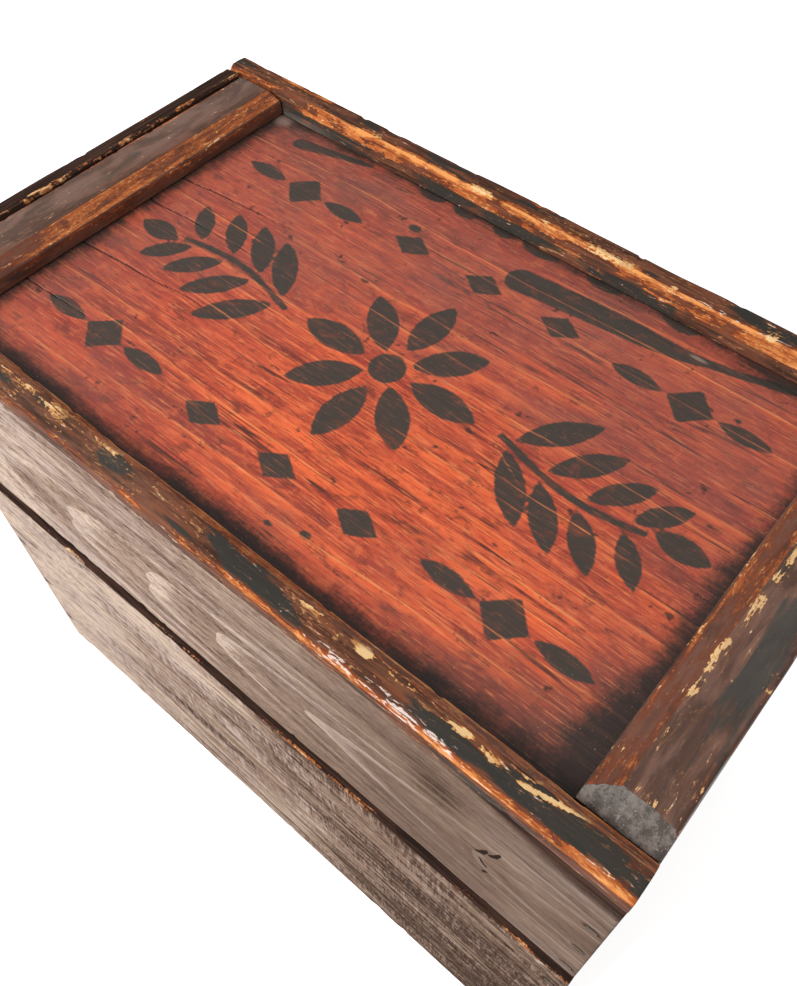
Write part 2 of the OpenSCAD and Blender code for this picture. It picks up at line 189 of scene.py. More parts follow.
class Board:
    """A section carried along a straight path, as arrays over stations and section points, in millimetres.

    along runs down the path, a and b are the section's two coordinates, na and nb its outward normal, near
    is the distance to the nearest edge along the section and edge is the number of that edge. slant_a and
    slant_b point out of the board midway between the faces that meet there. The fields hold values for the
    sides, and ends holds those of the two end faces, which are otherwise nothing.
    """

    def __init__(self, axis, corners, rounds, steps, span, pitch, end_round, extra):
        points, normals, slant, near, edge = section(np.asarray(corners, float), rounds, steps)
        end_round = min(end_round, 0.9 * min(rounds))
        places = stations(span[0], span[1], pitch, end_round, extra)
        self.axis = axis
        shape = (len(places), len(points))
        self.along = np.broadcast_to(places[:, None], shape).copy()
        self.a = np.broadcast_to(points[:, 0], shape).copy()
        self.b = np.broadcast_to(points[:, 1], shape).copy()
        self.na = np.broadcast_to(normals[:, 0], shape)
        self.nb = np.broadcast_to(normals[:, 1], shape)
        self.slant_a = np.broadcast_to(slant[:, 0], shape)
        self.slant_b = np.broadcast_to(slant[:, 1], shape)
        self.near = np.broadcast_to(near, shape)
        self.edge = np.broadcast_to(edge, shape)
        self.from_end = np.minimum(self.along - span[0], span[1] - self.along)
        self.fields = {}
        self.ends = {}
        into_round = np.clip(end_round - self.from_end, 0, None)
        self.push(np.sqrt(np.clip(end_round**2 - into_round**2, 0, None)) - end_round)

    def push(self, distance):
        """Moves each point along its outward normal."""
        self.a = self.a + self.na * distance
        self.b = self.b + self.nb * distance

    def at_edge(self, numbers, reach):
        """Closeness to the numbered edges: 1 on the edge, falling as a bell curve over the reach."""
        chosen = np.isin(self.edge, numbers)
        return np.where(chosen, np.exp(-((self.near / reach) ** 2)), 0.0)

    def rub(self, numbers, depth, reach, seed, cell=22.0):
        """Wears the numbered edges in, midway between their faces, by a drifting depth with small nicks."""
        drifted = 0.55 + 0.45 * drift([self.along, self.edge * 31.0], (cell, 7.0), seed)
        nicks = ramp(drift([self.along, self.edge * 53.0], (5.0, 7.0), seed + 3), 0.45, 0.95)
        worn = depth * (drifted + 0.9 * nicks) * self.at_edge(numbers, reach)
        self.a = self.a - self.slant_a * worn
        self.b = self.b - self.slant_b * worn

    def field(self, name, values):
        """Keeps a value for each point, which the finish reads as an attribute."""
        self.fields[name] = np.broadcast_to(values, self.a.shape).astype(float)

    def points(self):
        """Places of all points as X, Y and Z."""
        if self.axis == "X":
            return np.stack([self.along, self.a, self.b], -1)
        return np.stack([self.a, self.along, self.b], -1)


def section(corners, rounds, steps):
    """Closed section: an arc of its own radius at each corner, and runs sampled more finely at their ends."""
    before = np.roll(corners, 1, 0)
    after = np.roll(corners, -1, 0)
    into = (corners - before) / np.linalg.norm(corners - before, axis=1)[:, None]
    out = (after - corners) / np.linalg.norm(after - corners, axis=1)[:, None]
    turn = np.arctan2(into[:, 0] * out[:, 1] - into[:, 1] * out[:, 0], (into * out).sum(1))
    rounds = np.asarray(rounds, float)
    cut = rounds * np.tan(turn / 2)
    start = corners - into * cut[:, None]
    finish = corners + out * cut[:, None]
    facing = np.arctan2(-into[:, 0], into[:, 1])
    centre = start - rounds[:, None] * np.stack([np.cos(facing), np.sin(facing)], 1)
    count = len(corners)
    points, normals, slant, near, edge = [], [], [], [], []
    halfway = np.stack([np.cos(facing + turn / 2), np.sin(facing + turn / 2)], 1)
    for k in range(count):
        arc = facing[k] + turn[k] * np.linspace(0, 1, 5 if rounds[k] < 1.5 else 9)
        direction = np.stack([np.cos(arc), np.sin(arc)], 1)
        points.append(centre[k] + rounds[k] * direction)
        normals.append(direction)
        slant.append(np.broadcast_to(halfway[k], (len(arc), 2)))
        near.append(np.zeros(len(arc)))
        edge.append(np.full(len(arc), k))
        nxt = (k + 1) % count
        even = np.linspace(0, 1, steps[k] + 2)[1:-1]
        part = 0.6 * even + 0.4 * (0.5 - 0.5 * np.cos(np.pi * even))
        run = np.linalg.norm(start[nxt] - finish[k])
        points.append(finish[k] + part[:, None] * (start[nxt] - finish[k]))
        normals.append(np.broadcast_to([out[k, 1], -out[k, 0]], (len(part), 2)))
        slant.append(np.where(part[:, None] < 0.5, halfway[k], halfway[nxt]))
        near.append(run * np.minimum(part, 1 - part))
        edge.append(np.where(part < 0.5, k, nxt))
    return [np.concatenate(part) for part in (points, normals, slant, near, edge)]


def stations(low, high, pitch, end_round, extra):
    """Places along a path: even steps, with four more in each rounded end and any extra ones asked for."""
    even = np.linspace(low + end_round, high - end_round, max(2, int(round((high - low) / pitch))))
    ease = end_round * np.array([0.0, 0.06, 0.22, 0.52])
    return np.unique(np.concatenate([low + ease, even, high - ease, np.asarray(extra, float)]).round(4))


def board_mesh(name, board):
    """Closes a board: quads between neighbouring rings, and end rings drawn in to the section's middle."""
    rings = board.points()
    fields = dict(board.fields)
    fields["end_grain"] = np.zeros(board.a.shape)
    count = rings.shape[1]
    middles = [(ring.min(0) + ring.max(0)) / 2 for ring in (rings[0], rings[-1])]
    first_cap = middles[0] + CAP_RINGS[::-1, None, None] * (rings[0] - middles[0])
    last_cap = middles[1] + CAP_RINGS[:, None, None] * (rings[-1] - middles[1])
    grid = np.concatenate([first_cap, rings, last_cap])
    points = np.concatenate([grid.reshape(-1, 3), middles])
    rows = len(grid)
    ends = {**board.ends, "end_grain": 1.0}
    for key, value in fields.items():
        closing = np.full(len(CAP_RINGS) * count, ends.get(key, 0.0))
        fields[key] = np.concatenate([closing, value.reshape(-1), closing, closing[:2]])
    row, col = np.meshgrid(np.arange(rows - 1), np.arange(count), indexing="ij")
    nxt = (col + 1) % count
    near, far = row * count, (row + 1) * count
    quads = np.stack([near + col, near + nxt, far + nxt, far + col], -1).reshape(-1, 4)
    ring = np.arange(count)
    pole = rows * count
    first_fan = np.stack([np.full(count, pole), (ring + 1) % count, ring], -1)
    last_base = (rows - 1) * count
    last_fan = np.stack([np.full(count, pole + 1), last_base + ring, last_base + (ring + 1) % count], -1)
    if board.axis == "Y":
        quads, first_fan, last_fan = quads[:, ::-1], first_fan[:, ::-1], last_fan[:, ::-1]
    return mesh_object(name, points, quads, np.concatenate([first_fan, last_fan]), fields)


def mesh_object(name, points, quads, triangles, fields, sharp=42.0):
    """Puts points, faces and point values into a mesh, shades it smooth and splits it at sharp angles."""
    mesh = bpy.data.meshes.new(name)
    mesh.from_pydata((np.asarray(points) * MM).tolist(), [], quads.tolist() + triangles.tolist())
    for key, values in fields.items():
        made = mesh.attributes.new(key, "FLOAT", "POINT")
        made.data.foreach_set("value", np.ascontiguousarray(values, np.float32))
    mesh.validate()
    mesh.shade_smooth()
    mesh.set_sharp_from_angle(angle=np.radians(sharp))
    made = bpy.data.objects.new(name, mesh)
    bpy.context.scene.collection.objects.link(made)
    return made


def node_box(node):
    """Lowest and highest corner of a CAD node in millimetres."""
    low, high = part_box(node)
    return np.array(low) / MM, np.array(high) / MM


def place(piece, node, body, material):
    """Hangs a finished piece on its body in place of its CAD node."""
    piece.data.materials.append(material)
    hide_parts(node)
    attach(piece, body)


# Finishes


class Nodes:
    """A shader tree, cleared, with short ways to add its nodes."""

    def __init__(self, owner):
        owner.use_nodes = True
        self.tree = owner.node_tree
        self.tree.nodes.clear()

    def node(self, kind, inputs=None, **settings):
        """Adds a node: each input is linked to a socket or set to a value."""
        made = self.tree.nodes.new(kind)
        for key, value in settings.items():
            setattr(made, key, value)
        for key, value in (inputs or {}).items():
            if isinstance(value, bpy.types.NodeSocket):
                self.tree.links.new(value, made.inputs[key])
            else:
                made.inputs[key].default_value = value
        return made

    def math(self, operation, first, second=0.0, third=0.0):
        """One step of arithmetic."""
        return self.node("ShaderNodeMath", {0: first, 1: second, 2: third}, operation=operation).outputs[0]

    def seen(self, rays):
        """1 for the named kinds of ray and 0 for others."""
        path = self.node("ShaderNodeLightPath")
        total = path.outputs[rays[0]]
        for ray in rays[1:]:
            total = self.math("MAXIMUM", total, path.outputs[ray])
        return total


class Finish(Nodes):
    """A procedural material."""

    def __init__(self, name):
        self.material = bpy.data.materials.new(name)
        super().__init__(self.material)
        self.place = self.node("ShaderNodeTexCoord").outputs["Object"]

    def mix(self, amount, first, second, blend="MIX"):
        """Two colours mixed by an amount."""
        inputs = {0: amount, 6: first, 7: second}
        return self.node("ShaderNodeMix", inputs, data_type="RGBA", blend_type=blend).outputs[2]

    def step(self, value, low, high, start=0.0, end=1.0):
        """A smooth step from start to end as a value goes from low to high."""
        inputs = {"Value": value, 1: low, 2: high, 3: start, 4: end}
        return self.node("ShaderNodeMapRange", inputs, interpolation_type="SMOOTHSTEP").outputs[0]

    def times(self, first, second):
        """The product of two values."""
        return self.math("MULTIPLY", first, second)

    def added(self, value, other, weight):
        """A value and a weighted other one."""
        return self.math("MULTIPLY_ADD", other, weight, value)

    def swayed(self, value, noise, weight):
        """A value pushed up and down by weighted noise, taken about its middle."""
        return self.added(value, self.math("SUBTRACT", noise, 0.5), weight)

    def tint(self, colour, other, value, low, high, weight=1.0):
        """A colour that turns to another as a value goes from low to high, by the weight at most."""
        return self.mix(self.step(value, low, high, 0.0, weight), colour, other)

    def moved(self, scale=(1, 1, 1), shift=(0, 0, 0), turn=(0, 0, 0)):
        """The piece's own coordinates, scaled, turned and shifted."""
        inputs = {"Vector": self.place, "Location": shift, "Rotation": turn, "Scale": scale}
        return self.node("ShaderNodeMapping", inputs).outputs[0]

    def noise(self, scale, detail=3.0, roughness=0.55, bend=0.0, shift=(0, 0, 0)):
        """Noise with a given number of cells per metre along each axis."""
        inputs = {"Vector": self.moved(scale, shift), "Scale": 1.0, "Detail": detail}
        inputs.update({"Roughness": roughness, "Distortion": bend})
        return self.node("ShaderNodeTexNoise", inputs).outputs[0]

    def vein(self, scale, detail, roughness, bend, shift):
        """Distance of noise from its middle, which is least along winding lines."""
        noise = self.noise(scale, detail, roughness, bend, shift)
        return self.math("ABSOLUTE", self.math("SUBTRACT", noise, 0.5))

    def field(self, name):
        """A value that the piece's own points hold."""
        return self.node("ShaderNodeAttribute", attribute_name=name).outputs["Fac"]

    def rings(self, axis, spacing, heart, turn, bend, reach):
        """Growth rings: a saw wave of the distance to a heart line along the axis, bent by long noise."""
        inputs = {"Vector": self.moved(reach), "Scale": 1.0, "Detail": 2.0, "Roughness": 0.5}
        swirl = self.node("ShaderNodeTexNoise", inputs).outputs[1]
        inputs = {0: swirl, 1: (0.5, 0.5, 0.5)}
        centred = self.node("ShaderNodeVectorMath", inputs, operation="SUBTRACT").outputs[0]
        inputs = {0: centred, 1: (bend * 2,) * 3, 2: self.moved((1, 1, 1), heart, turn)}
        pushed = self.node("ShaderNodeVectorMath", inputs, operation="MULTIPLY_ADD").outputs[0]
        inputs = {"Vector": pushed, "Scale": 0.314 / spacing, "Distortion": 0.0}
        kind = {"wave_type": "RINGS", "rings_direction": axis, "wave_profile": "SAW"}
        return self.node("ShaderNodeTexWave", inputs, **kind).outputs[1]

    def surface(self, colour, roughness, height, depth, specular, metallic=0.0):
        """Closes the material: its colour and gloss, and its height as a bump of a given depth in metres."""
        bumped = self.node("ShaderNodeBump", {"Strength": 1.0, "Distance": depth, "Height": height})
        inputs = {"Base Color": colour, "Roughness": roughness, "Normal": bumped.outputs[0]}
        inputs.update({"Specular IOR Level": specular, "Metallic": metallic})
        shader = self.node("ShaderNodeBsdfPrincipled", inputs)
        self.node("ShaderNodeOutputMaterial", {"Surface": shader.outputs[0]})
        return self.material


def along(axis, long, short):
    """Cells per metre along the grain and across it, for grain along X or Y."""
    return (long, short, short) if axis == "X" else (short, long, short)


def painted_wood(name, axis, colours, redness, sheen_veil, streaks, gloss):
    """Streaky brown varnish with black paint in patches, over orange wood.

    The wear field bares the wood, chips opens pale wood, black raises the dark patches and also darkens the
    front rail's lower face, partly as painted shade, and the back rail's foot as painted shade, cut_end shows
    a greyed cut that pale lightens, glint lays painted highlights, and dust lays pale dust that on the
    battens' tops and the front rail is partly painted sheen.
    """
    f = Finish(name)
    fine = f.noise((700, 700, 700), 4.0, 0.6)
    grit = f.noise((2100, 2100, 2100), 2.0, 0.6, shift=(0.1, 0.4, 0.2))
    middle = f.noise(along(axis, 75, 150), 4.0, 0.62, 0.4, shift=(0.3, 0.1, 0.7))
    fibre = f.noise(along(axis, 24, 780), 4.0, 0.64, 0.3)
    stroke = f.noise(along(axis, 38, 320), 4.0, 0.64, 0.5, shift=(0.6, 0.3, 0.1))
    patch = f.noise(along(axis, 24, 105), 3.0, 0.5, 0.25, shift=(0.9, 0.2, 0.4))
    broad = f.noise(along(axis, 36, 130), 4.0, 0.6, 0.4, shift=(0.5, 0.7, 0.4))
    scratch = f.noise(along(axis, 90, 600), 3.0, 0.6, 0.9, shift=(0.4, 0.3, 0.8))
    tick = f.noise(along(axis, 420, 1500), 2.0, 0.55, 0.3, shift=(0.7, 0.2, 0.5))
    brown = f.mix(redness, colours.varnish, colours.thin_paint)
    # Painted sheen: a pale veil over the brown stands in for the paint's sheen.
    brown = f.mix(sheen_veil, brown, (0.160, 0.116, 0.100, 1))
    varnish = f.tint(f.mix(0.35, colours.paint, brown), brown, broad, 0.43, 0.57)
    varnish = f.tint(varnish, colours.paint, stroke, 0.48, 0.37, 0.8 * streaks)
    varnish = f.tint(varnish, (0.25, 0.080, 0.038, 1), stroke, 0.52, 0.64, 0.6 * streaks)
    varnish = f.tint(varnish, (0.31, 0.125, 0.062, 1), fibre, 0.53, 0.65, 0.5 * streaks)
    varnish = f.tint(varnish, (0.030, 0.017, 0.013, 1), fibre, 0.46, 0.36, 0.55 * streaks)
    soften = 0.05 * (1 - streaks)
    # black: dark paint patches, and painted shade where a rail's field adds it.
    black = f.step(f.math("ADD", patch, f.field("black")), 0.535 - soften, 0.585 + soften)
    black = f.times(black, f.step(fibre, 0.72, 0.60, 0.45, 1.0))
    paint = f.mix(f.times(black, 0.94), varnish, (0.045, 0.044, 0.039, 1))
    rubbed = f.times(f.step(scratch, 0.60, 0.67), f.math("SUBTRACT", 0.75, f.times(black, 0.6)))
    rubbed = f.times(rubbed, streaks)
    paint = f.mix(rubbed, paint, (0.50, 0.22, 0.078, 1))
    wear = f.swayed(f.field("wear"), fine, 0.30)
    wear = f.swayed(wear, middle, 0.35 + 0.60 * streaks)
    wear = f.swayed(wear, scratch, 0.25 + 0.90 * streaks)
    bare = f.step(wear, 0.48 - 2 * soften, 0.56 + 2 * soften)
    thin = f.step(wear, 0.24, 0.48)
    wood = f.tint(colours.worn_wood, (0.32, 0.078, 0.025, 1), fibre, 0.36, 0.64)
    wood = f.tint(wood, (0.22, 0.052, 0.020, 1), stroke, 0.50, 0.34, 0.7)
    wood = f.tint(wood, (0.80, 0.33, 0.10, 1), wear, 0.72, 1.10)
    wood = f.tint(wood, (0.84, 0.42, 0.15, 1), tick, 0.55, 0.66, 0.5)
    colour = f.mix(f.times(thin, 0.75), paint, colours.thin_paint)
    colour = f.mix(bare, colour, wood)
    chips = f.swayed(f.field("chips"), scratch, 1.9)
    chips = f.swayed(chips, fine, 0.9)
    chips = f.swayed(chips, tick, 0.7 + 1.7 * (1 - streaks))
    chip = f.step(chips, 0.60, 0.66)
    deep = f.step(f.swayed(chips, fine, 0.8), 0.66, 0.92)
    colour = f.mix(chip, colour, f.mix(deep, (0.66, 0.27, 0.08, 1), colours.pale_wood))
    ticked = f.added(tick, f.field("chips"), 0.22)
    flecks = f.times(f.step(ticked, 0.60, 0.67), f.step(middle, 0.48, 0.58))
    flecks = f.times(flecks, f.math("SUBTRACT", 1.0, f.times(black, 0.75)))
    colour = f.mix(f.times(flecks, 0.8 * streaks), colour, (0.60, 0.29, 0.11, 1))
    pores = f.noise((300, 300, 300), 5.0, 0.6, shift=(0.2, 0.5, 0.1))
    grey = f.tint((0.062, 0.050, 0.043, 1), (0.185, 0.155, 0.135, 1), pores, 0.38, 0.62)
    grey = f.mix(f.times(f.field("pale"), 0.75), grey, (0.245, 0.225, 0.205, 1))
    grey = f.tint(grey, (0.055, 0.044, 0.038, 1), fine, 0.48, 0.38, 0.6)
    grey = f.tint(grey, (0.40, 0.32, 0.26, 1), grit, 0.62, 0.68, 0.7)
    cut_mask = f.step(f.swayed(f.field("cut_end"), fine, 0.5), 0.45, 0.55)
    colour = f.mix(cut_mask, colour, grey)
    # Pale dust; on the battens' tops and the front rail it is partly painted sheen.
    dust = f.times(f.field("dust"), f.step(broad, 0.36, 0.64, 0.55, 1.45))
    colour = f.mix(dust, colour, (0.42, 0.35, 0.30, 1))
    # Painted highlight: glint and scratches lay pale streaks where the edges would catch the light.
    shine = f.swayed(f.field("glint"), tick, 1.4)
    shine = f.swayed(shine, scratch, 3.0)
    colour = f.tint(colour, (0.80, 0.66, 0.58, 1), shine, 0.55, 0.85, 0.9 * streaks)
    worn = f.math("MAXIMUM", f.math("MAXIMUM", bare, chip), cut_mask)
    rough = f.added(f.step(middle, 0.3, 0.8, 0.34, 0.52), worn, 0.12)
    height = f.added(f.times(stroke, 0.6), worn, -0.5)
    height = f.added(height, fine, 0.35)
    height = f.added(height, black, 0.25)
    return f.surface(colour, rough, height, 0.00034, gloss)


def stained_panel(colours):
    """Red stained pine along X: soft bands, thin raised lines, clouds of dirt and splits.

    The paint field is the distance to crisp dark paint and border the distance to the soft dark edging, both
    below zero inside. ridge marks raised lines, glow and shade light and darken the bands beside them, haze
    dulls, grime_and_shade darkens by degrees with dirt and with painted shade along the frame and in its
    corners, split and dust mark the surface, and under shows the bare lower face.
    """
    f = Finish("stained pine panel")
    band = f.noise((4.5, 120, 120), 4.0, 0.6, 0.6, shift=(0.4, 0.3, 0.0))
    wide = f.noise((5, 36, 36), 4.0, 0.6, 0.6, shift=(0.4, 0.7, 0.0))
    wisp = f.noise((42, 360, 360), 5.0, 0.68, 0.8, shift=(0.6, 0.2, 0.3))
    fibre = f.noise((90, 1300, 1300), 4.0, 0.62)
    fine = f.noise((800, 800, 800), 4.0, 0.6)
    mottle = f.noise((110, 170, 170), 5.0, 0.70, 0.7, shift=(0.2, 0.8, 0.1))
    cloud = f.noise((22, 34, 34), 5.0, 0.62, 0.5, shift=(0.2, 0.8, 0.1))
    ridge = f.field("ridge")
    broken = f.step(f.noise((34, 60, 60), 3.0, 0.6, shift=(0.5, 0.1, 0.4)), 0.42, 0.58)
    seam = f.vein((3.0, 120, 120), 2.0, 0.5, 0.25, (0.8, 0.4, 0.0))
    colour = f.tint(colours.stain, colours.stain_light, band, 0.36, 0.64)
    colour = f.tint(colour, (0.30, 0.050, 0.033, 1), wide, 0.44, 0.62, 0.6)
    glow = f.swayed(f.field("glow"), wisp, 0.9)
    colour = f.tint(colour, (0.90, 0.152, 0.046, 1), glow, 0.05, 0.90, 0.88)
    colour = f.tint(colour, (0.270, 0.038, 0.026, 1), f.field("shade"), 0.45, 1.0, 0.24)
    clear = f.step(f.field("haze"), 0.0, 0.58, 1.0, 0.40)
    colour = f.mix(f.times(f.step(wisp, 0.51, 0.64, 0.0, 0.74), clear), colour, (0.94, 0.180, 0.060, 1))
    colour = f.mix(f.times(f.step(wisp, 0.48, 0.36, 0.0, 0.52), clear), colour, (0.240, 0.036, 0.026, 1))
    colour = f.tint(colour, colours.stain_dark, mottle, 0.53, 0.66, 0.60)
    colour = f.tint(colour, (0.86, 0.180, 0.066, 1), mottle, 0.46, 0.36, 0.45)
    # Darker by degrees: dirt, and painted shade along the raised frame and in its corners.
    grime_and_shade = f.swayed(f.field("grime_and_shade"), cloud, 1.3)
    colour = f.tint(colour, (0.085, 0.034, 0.024, 1), grime_and_shade, 0.06, 0.75, 0.85)
    bright = f.swayed(ridge, fibre, 0.9)
    bright = f.times(f.step(bright, 0.30, 0.85, 0.0, 0.85), f.added(0.4, broken, 0.6))
    colour = f.mix(bright, colour, (0.86, 0.30, 0.095, 1))
    colour = f.mix(f.times(f.step(seam, 0.012, 0.003), broken), colour, (0.12, 0.030, 0.020, 1))
    colour = f.tint(colour, (0.88, 0.27, 0.100, 1), fibre, 0.54, 0.66, 0.65)
    colour = f.tint(colour, (0.15, 0.032, 0.022, 1), fibre, 0.45, 0.34, 0.60)
    haze = f.swayed(f.field("haze"), cloud, 0.9)
    colour = f.tint(colour, (0.215, 0.095, 0.078, 1), haze, 0.0, 1.0, 0.72)
    spot = f.noise((150, 200, 200), 2.0, 0.5, shift=(0.3, 0.6, 0.9))
    colour = f.tint(colour, (0.050, 0.030, 0.024, 1), spot, 0.68, 0.76, 0.8)
    ragged = f.swayed(f.field("paint"), fine, 1.1)
    ragged = f.swayed(ragged, wisp, 1.4)
    cover = f.step(ragged, 0.40, -0.50)
    gaps = f.math("ADD", f.step(fibre, 0.54, 0.78, 0.0, 0.35), f.step(mottle, 0.52, 0.72, 0.0, 0.40))
    gaps = f.math("ADD", gaps, f.times(bright, 0.7))
    cover = f.times(cover, f.math("SUBTRACT", 0.97, gaps))
    colour = f.mix(cover, colour, colours.stencil)
    smudge = f.noise((85, 110, 110), 5.0, 0.66, 0.3, shift=(0.1, 0.5, 0.6))
    soft = f.swayed(f.field("border"), wisp, 3.0)
    soft = f.swayed(soft, smudge, 12.0)
    soft = f.swayed(soft, fine, 7.0)
    edge = f.step(soft, 5.4, -4.2, 0.0, 0.94)
    edging = f.tint((0.030, 0.026, 0.023, 1), (0.085, 0.040, 0.028, 1), wisp, 0.46, 0.72, 0.6)
    colour = f.mix(edge, colour, edging)
    colour = f.tint(colour, (0.030, 0.012, 0.009, 1), f.field("split"), 0.25, 0.75)
    colour = f.tint(colour, (0.50, 0.36, 0.28, 1), f.field("dust"), 0.3, 0.9, 0.5)
    specks = f.noise((2200, 2200, 2200), 1.0, 0.5, shift=(0.7, 0.1, 0.5))
    speckled = f.times(f.step(specks, 0.76, 0.80), f.step(cloud, 0.45, 0.6))
    colour = f.mix(speckled, colour, (0.80, 0.52, 0.30, 1))
    rings = f.rings("X", 0.0042, (0.01, 0.012, -0.262), (0.0, 0.016, 0.022), 0.0045, (2.6, 18, 18))
    bare = f.tint(colours.inner, (0.30, 0.17, 0.09, 1), rings, 0.45, 0.98, 0.55)
    colour = f.mix(f.field("under"), colour, f.tint(bare, (0.26, 0.15, 0.08, 1), fibre, 0.4, 0.8, 0.4))
    rough = f.added(f.step(mottle, 0.3, 0.7, 0.36, 0.54), cover, 0.06)
    height = f.added(f.times(wisp, 0.6), fibre, 0.35)
    height = f.added(height, ridge, 0.5)
    return f.surface(colour, rough, height, 0.00030, 0.26)


def grey_board(name, axis, heart, turn, spacing, colours, sawn, seed):
    """Greyed softwood: one tone, summed from growth rings, clouds, streaks and saw marks, picks the colour.

    The bleach_and_light field sets the tone's level, partly bleaching and partly painted light, figure the
    strength of its rings, and deep lays painted shade that darkens and calms it. rust and split mark it,
    splinter lightens it, inside shows yellowed wood, and rim_paint lays dark paint that rim_wear rubs off; on
    the lid's front board rim_paint lays a dark band under the rail.
    """
    f = Finish(name)
    late = f.step(f.rings(axis, spacing, heart, turn, 0.008, along(axis, 5, 20)), 0.25 if sawn else 0.55, 1.0)
    fibre = f.noise(along(axis, 30, 1100), 4.0, 0.64, 0.3, shift=(seed, 0.2, 0.1))
    dash = f.noise(along(axis, 58, 520), 4.0, 0.66, 0.5, shift=(0.4, seed, 0.6))
    pore = f.noise(along(axis, 240, 1500), 3.0, 0.62, 0.4, shift=(0.2, 0.7, seed))
    streak = f.noise(along(axis, 13, 120), 5.0, 0.68, 0.8, shift=(0.3, 0.6, seed))
    cloud = f.noise(along(axis, 11, 24), 5.0, 0.6, 0.4, shift=(seed, 0.1, 0.3))
    hue = f.noise(along(axis, 14, 40), 3.0, 0.55, shift=(0.1, seed, 0.8))
    fine = f.noise((820, 820, 820), 4.0, 0.62)
    # Tone from bleach_and_light: bleaching, and on the front boards painted light, paler to the left.
    tone = f.swayed(f.field("bleach_and_light"), cloud, 1.05)
    # deep is painted shade: it calms the streaks and figure where it falls.
    calm = f.math("SUBTRACT", 1.0, f.times(f.field("deep"), 0.80))
    tone = f.added(tone, f.times(f.math("SUBTRACT", streak, 0.5), calm), 1.25)
    ringed = f.math("SUBTRACT", 0.36, late) if sawn else f.math("SUBTRACT", late, 0.15)
    figure = f.times(ringed, f.math("ADD", f.field("figure"), 0.10))
    tone = f.math("ADD", figure, tone)
    tone = f.added(tone, f.times(f.math("SUBTRACT", fibre, 0.5), calm), 0.65)
    if sawn:
        turned = (0.0, -0.5, 0.0) if axis == "X" else (0.5, 0.0, 0.0)
        marks = {"Vector": f.moved((760, 760, 105), (seed, 0.0, 0.0), turned), "Scale": 1.0, "Detail": 3.0}
        saw = f.node("ShaderNodeTexNoise", {**marks, "Roughness": 0.62, "Distortion": 0.4}).outputs[0]
        saw = f.times(f.math("SUBTRACT", saw, 0.5), f.step(hue, 0.38, 0.60))
        tone = f.added(tone, saw, 2.1)
    pale = f.tint(colours.bleached, (0.520, 0.400, 0.345, 1), hue, 0.40, 0.62)
    middle = f.tint(colours.rough if sawn else colours.planed, (0.268, 0.180, 0.138, 1), hue, 0.40, 0.62)
    colour = f.tint((0.092, 0.053, 0.038, 1), middle, tone, 0.02, 0.42)
    colour = f.tint(colour, pale, tone, 0.38, 0.86)
    shadow = f.mix(1.0, colour, (0.26, 0.21, 0.185, 1), "MULTIPLY")
    colour = f.mix(f.times(f.step(dash, 0.455, 0.35, 0.0, 0.6), calm), colour, shadow)
    pitted = f.times(f.step(pore, 0.475, 0.405), f.step(streak, 0.60, 0.44, 0.35, 1.0))
    colour = f.mix(f.times(f.times(pitted, 0.92), calm), colour, shadow)
    colour = f.tint(colour, pale, pore, 0.56, 0.66, 0.35)
    colour = f.tint(colour, pale, fibre, 0.62, 0.78, 0.35)
    height = f.added(f.times(fibre, 0.6), late, -0.25)
    height = f.added(height, dash, 0.6)
    if sawn:
        height = f.added(height, saw, 1.4)
        height = f.added(height, fine, 0.6)
        hair = f.vein(along(axis, 6, 80), 3.0, 0.5, 0.4, (0.2, 0.2, 0.7))
        hair = f.times(f.step(hair, 0.011, 0.003), f.step(cloud, 0.50, 0.60))
        colour = f.mix(f.times(hair, 0.7), colour, (0.60, 0.47, 0.37, 1))
        crack = f.vein(along(axis, 7, 62), 3.0, 0.5, 0.4, (0.9, 0.3, 0.4))
        crack = f.times(f.step(crack, 0.013, 0.003), f.step(streak, 0.54, 0.42))
        colour = f.mix(f.times(crack, 0.85), colour, (0.045, 0.028, 0.021, 1))
    # Painted shade: deep darkens the colour.
    colour = f.mix(f.field("deep"), colour, f.mix(1.0, colour, (0.59, 0.57, 0.56, 1), "MULTIPLY"))
    pores = f.noise((900, 900, 900), 3.0, 0.6, shift=(0.2, 0.5, 0.1))
    cut = f.tint(f.mix(1.0, colour, (0.45, 0.40, 0.36, 1), "MULTIPLY"), colour, pores, 0.35, 0.68)
    colour = f.mix(f.field("end_grain"), colour, cut)
    rust = f.swayed(f.field("rust"), dash, 1.1)
    colour = f.tint(colour, (0.040, 0.021, 0.014, 1), rust, 0.36, 0.90, 0.9)
    scar = f.swayed(f.field("split"), dash, 1.2)
    colour = f.tint(colour, (0.026, 0.016, 0.012, 1), scar, 0.40, 0.70, 0.97)
    colour = f.tint(colour, (0.66, 0.52, 0.41, 1), f.field("splinter"), 0.35, 0.8, 0.8)
    plain = f.mix(f.times(late, 0.6), colours.inner, (0.31, 0.18, 0.095, 1))
    plain = f.tint(plain, (0.27, 0.16, 0.085, 1), fibre, 0.54, 0.42, 0.35)
    plain = f.tint(plain, (0.20, 0.115, 0.065, 1), dash, 0.47, 0.37, 0.45)
    plain = f.tint(plain, (0.15, 0.085, 0.05, 1), pore, 0.45, 0.38, 0.6)
    plain = f.tint(plain, (0.24, 0.155, 0.10, 1), cloud, 0.50, 0.64, 0.5)
    colour = f.mix(f.field("inside"), colour, plain)
    worn = f.swayed(f.field("rim_wear"), fine, 0.8)
    worn = f.swayed(worn, dash, 1.3)
    dirty = f.tint((0.030, 0.018, 0.015, 1), (0.085, 0.044, 0.031, 1), fibre, 0.38, 0.68)
    worn_to = f.tint(colours.worn_wood, pale, tone, 0.30, 0.75)
    rim_colour = f.tint(dirty, f.tint(worn_to, (0.36, 0.14, 0.055, 1), fibre, 0.3, 0.7), worn, 0.42, 0.58)
    flake = f.swayed(worn, pore, 1.6)
    fresh = f.tint(colours.worn_wood, colours.pale_wood, pore, 0.4, 0.6)
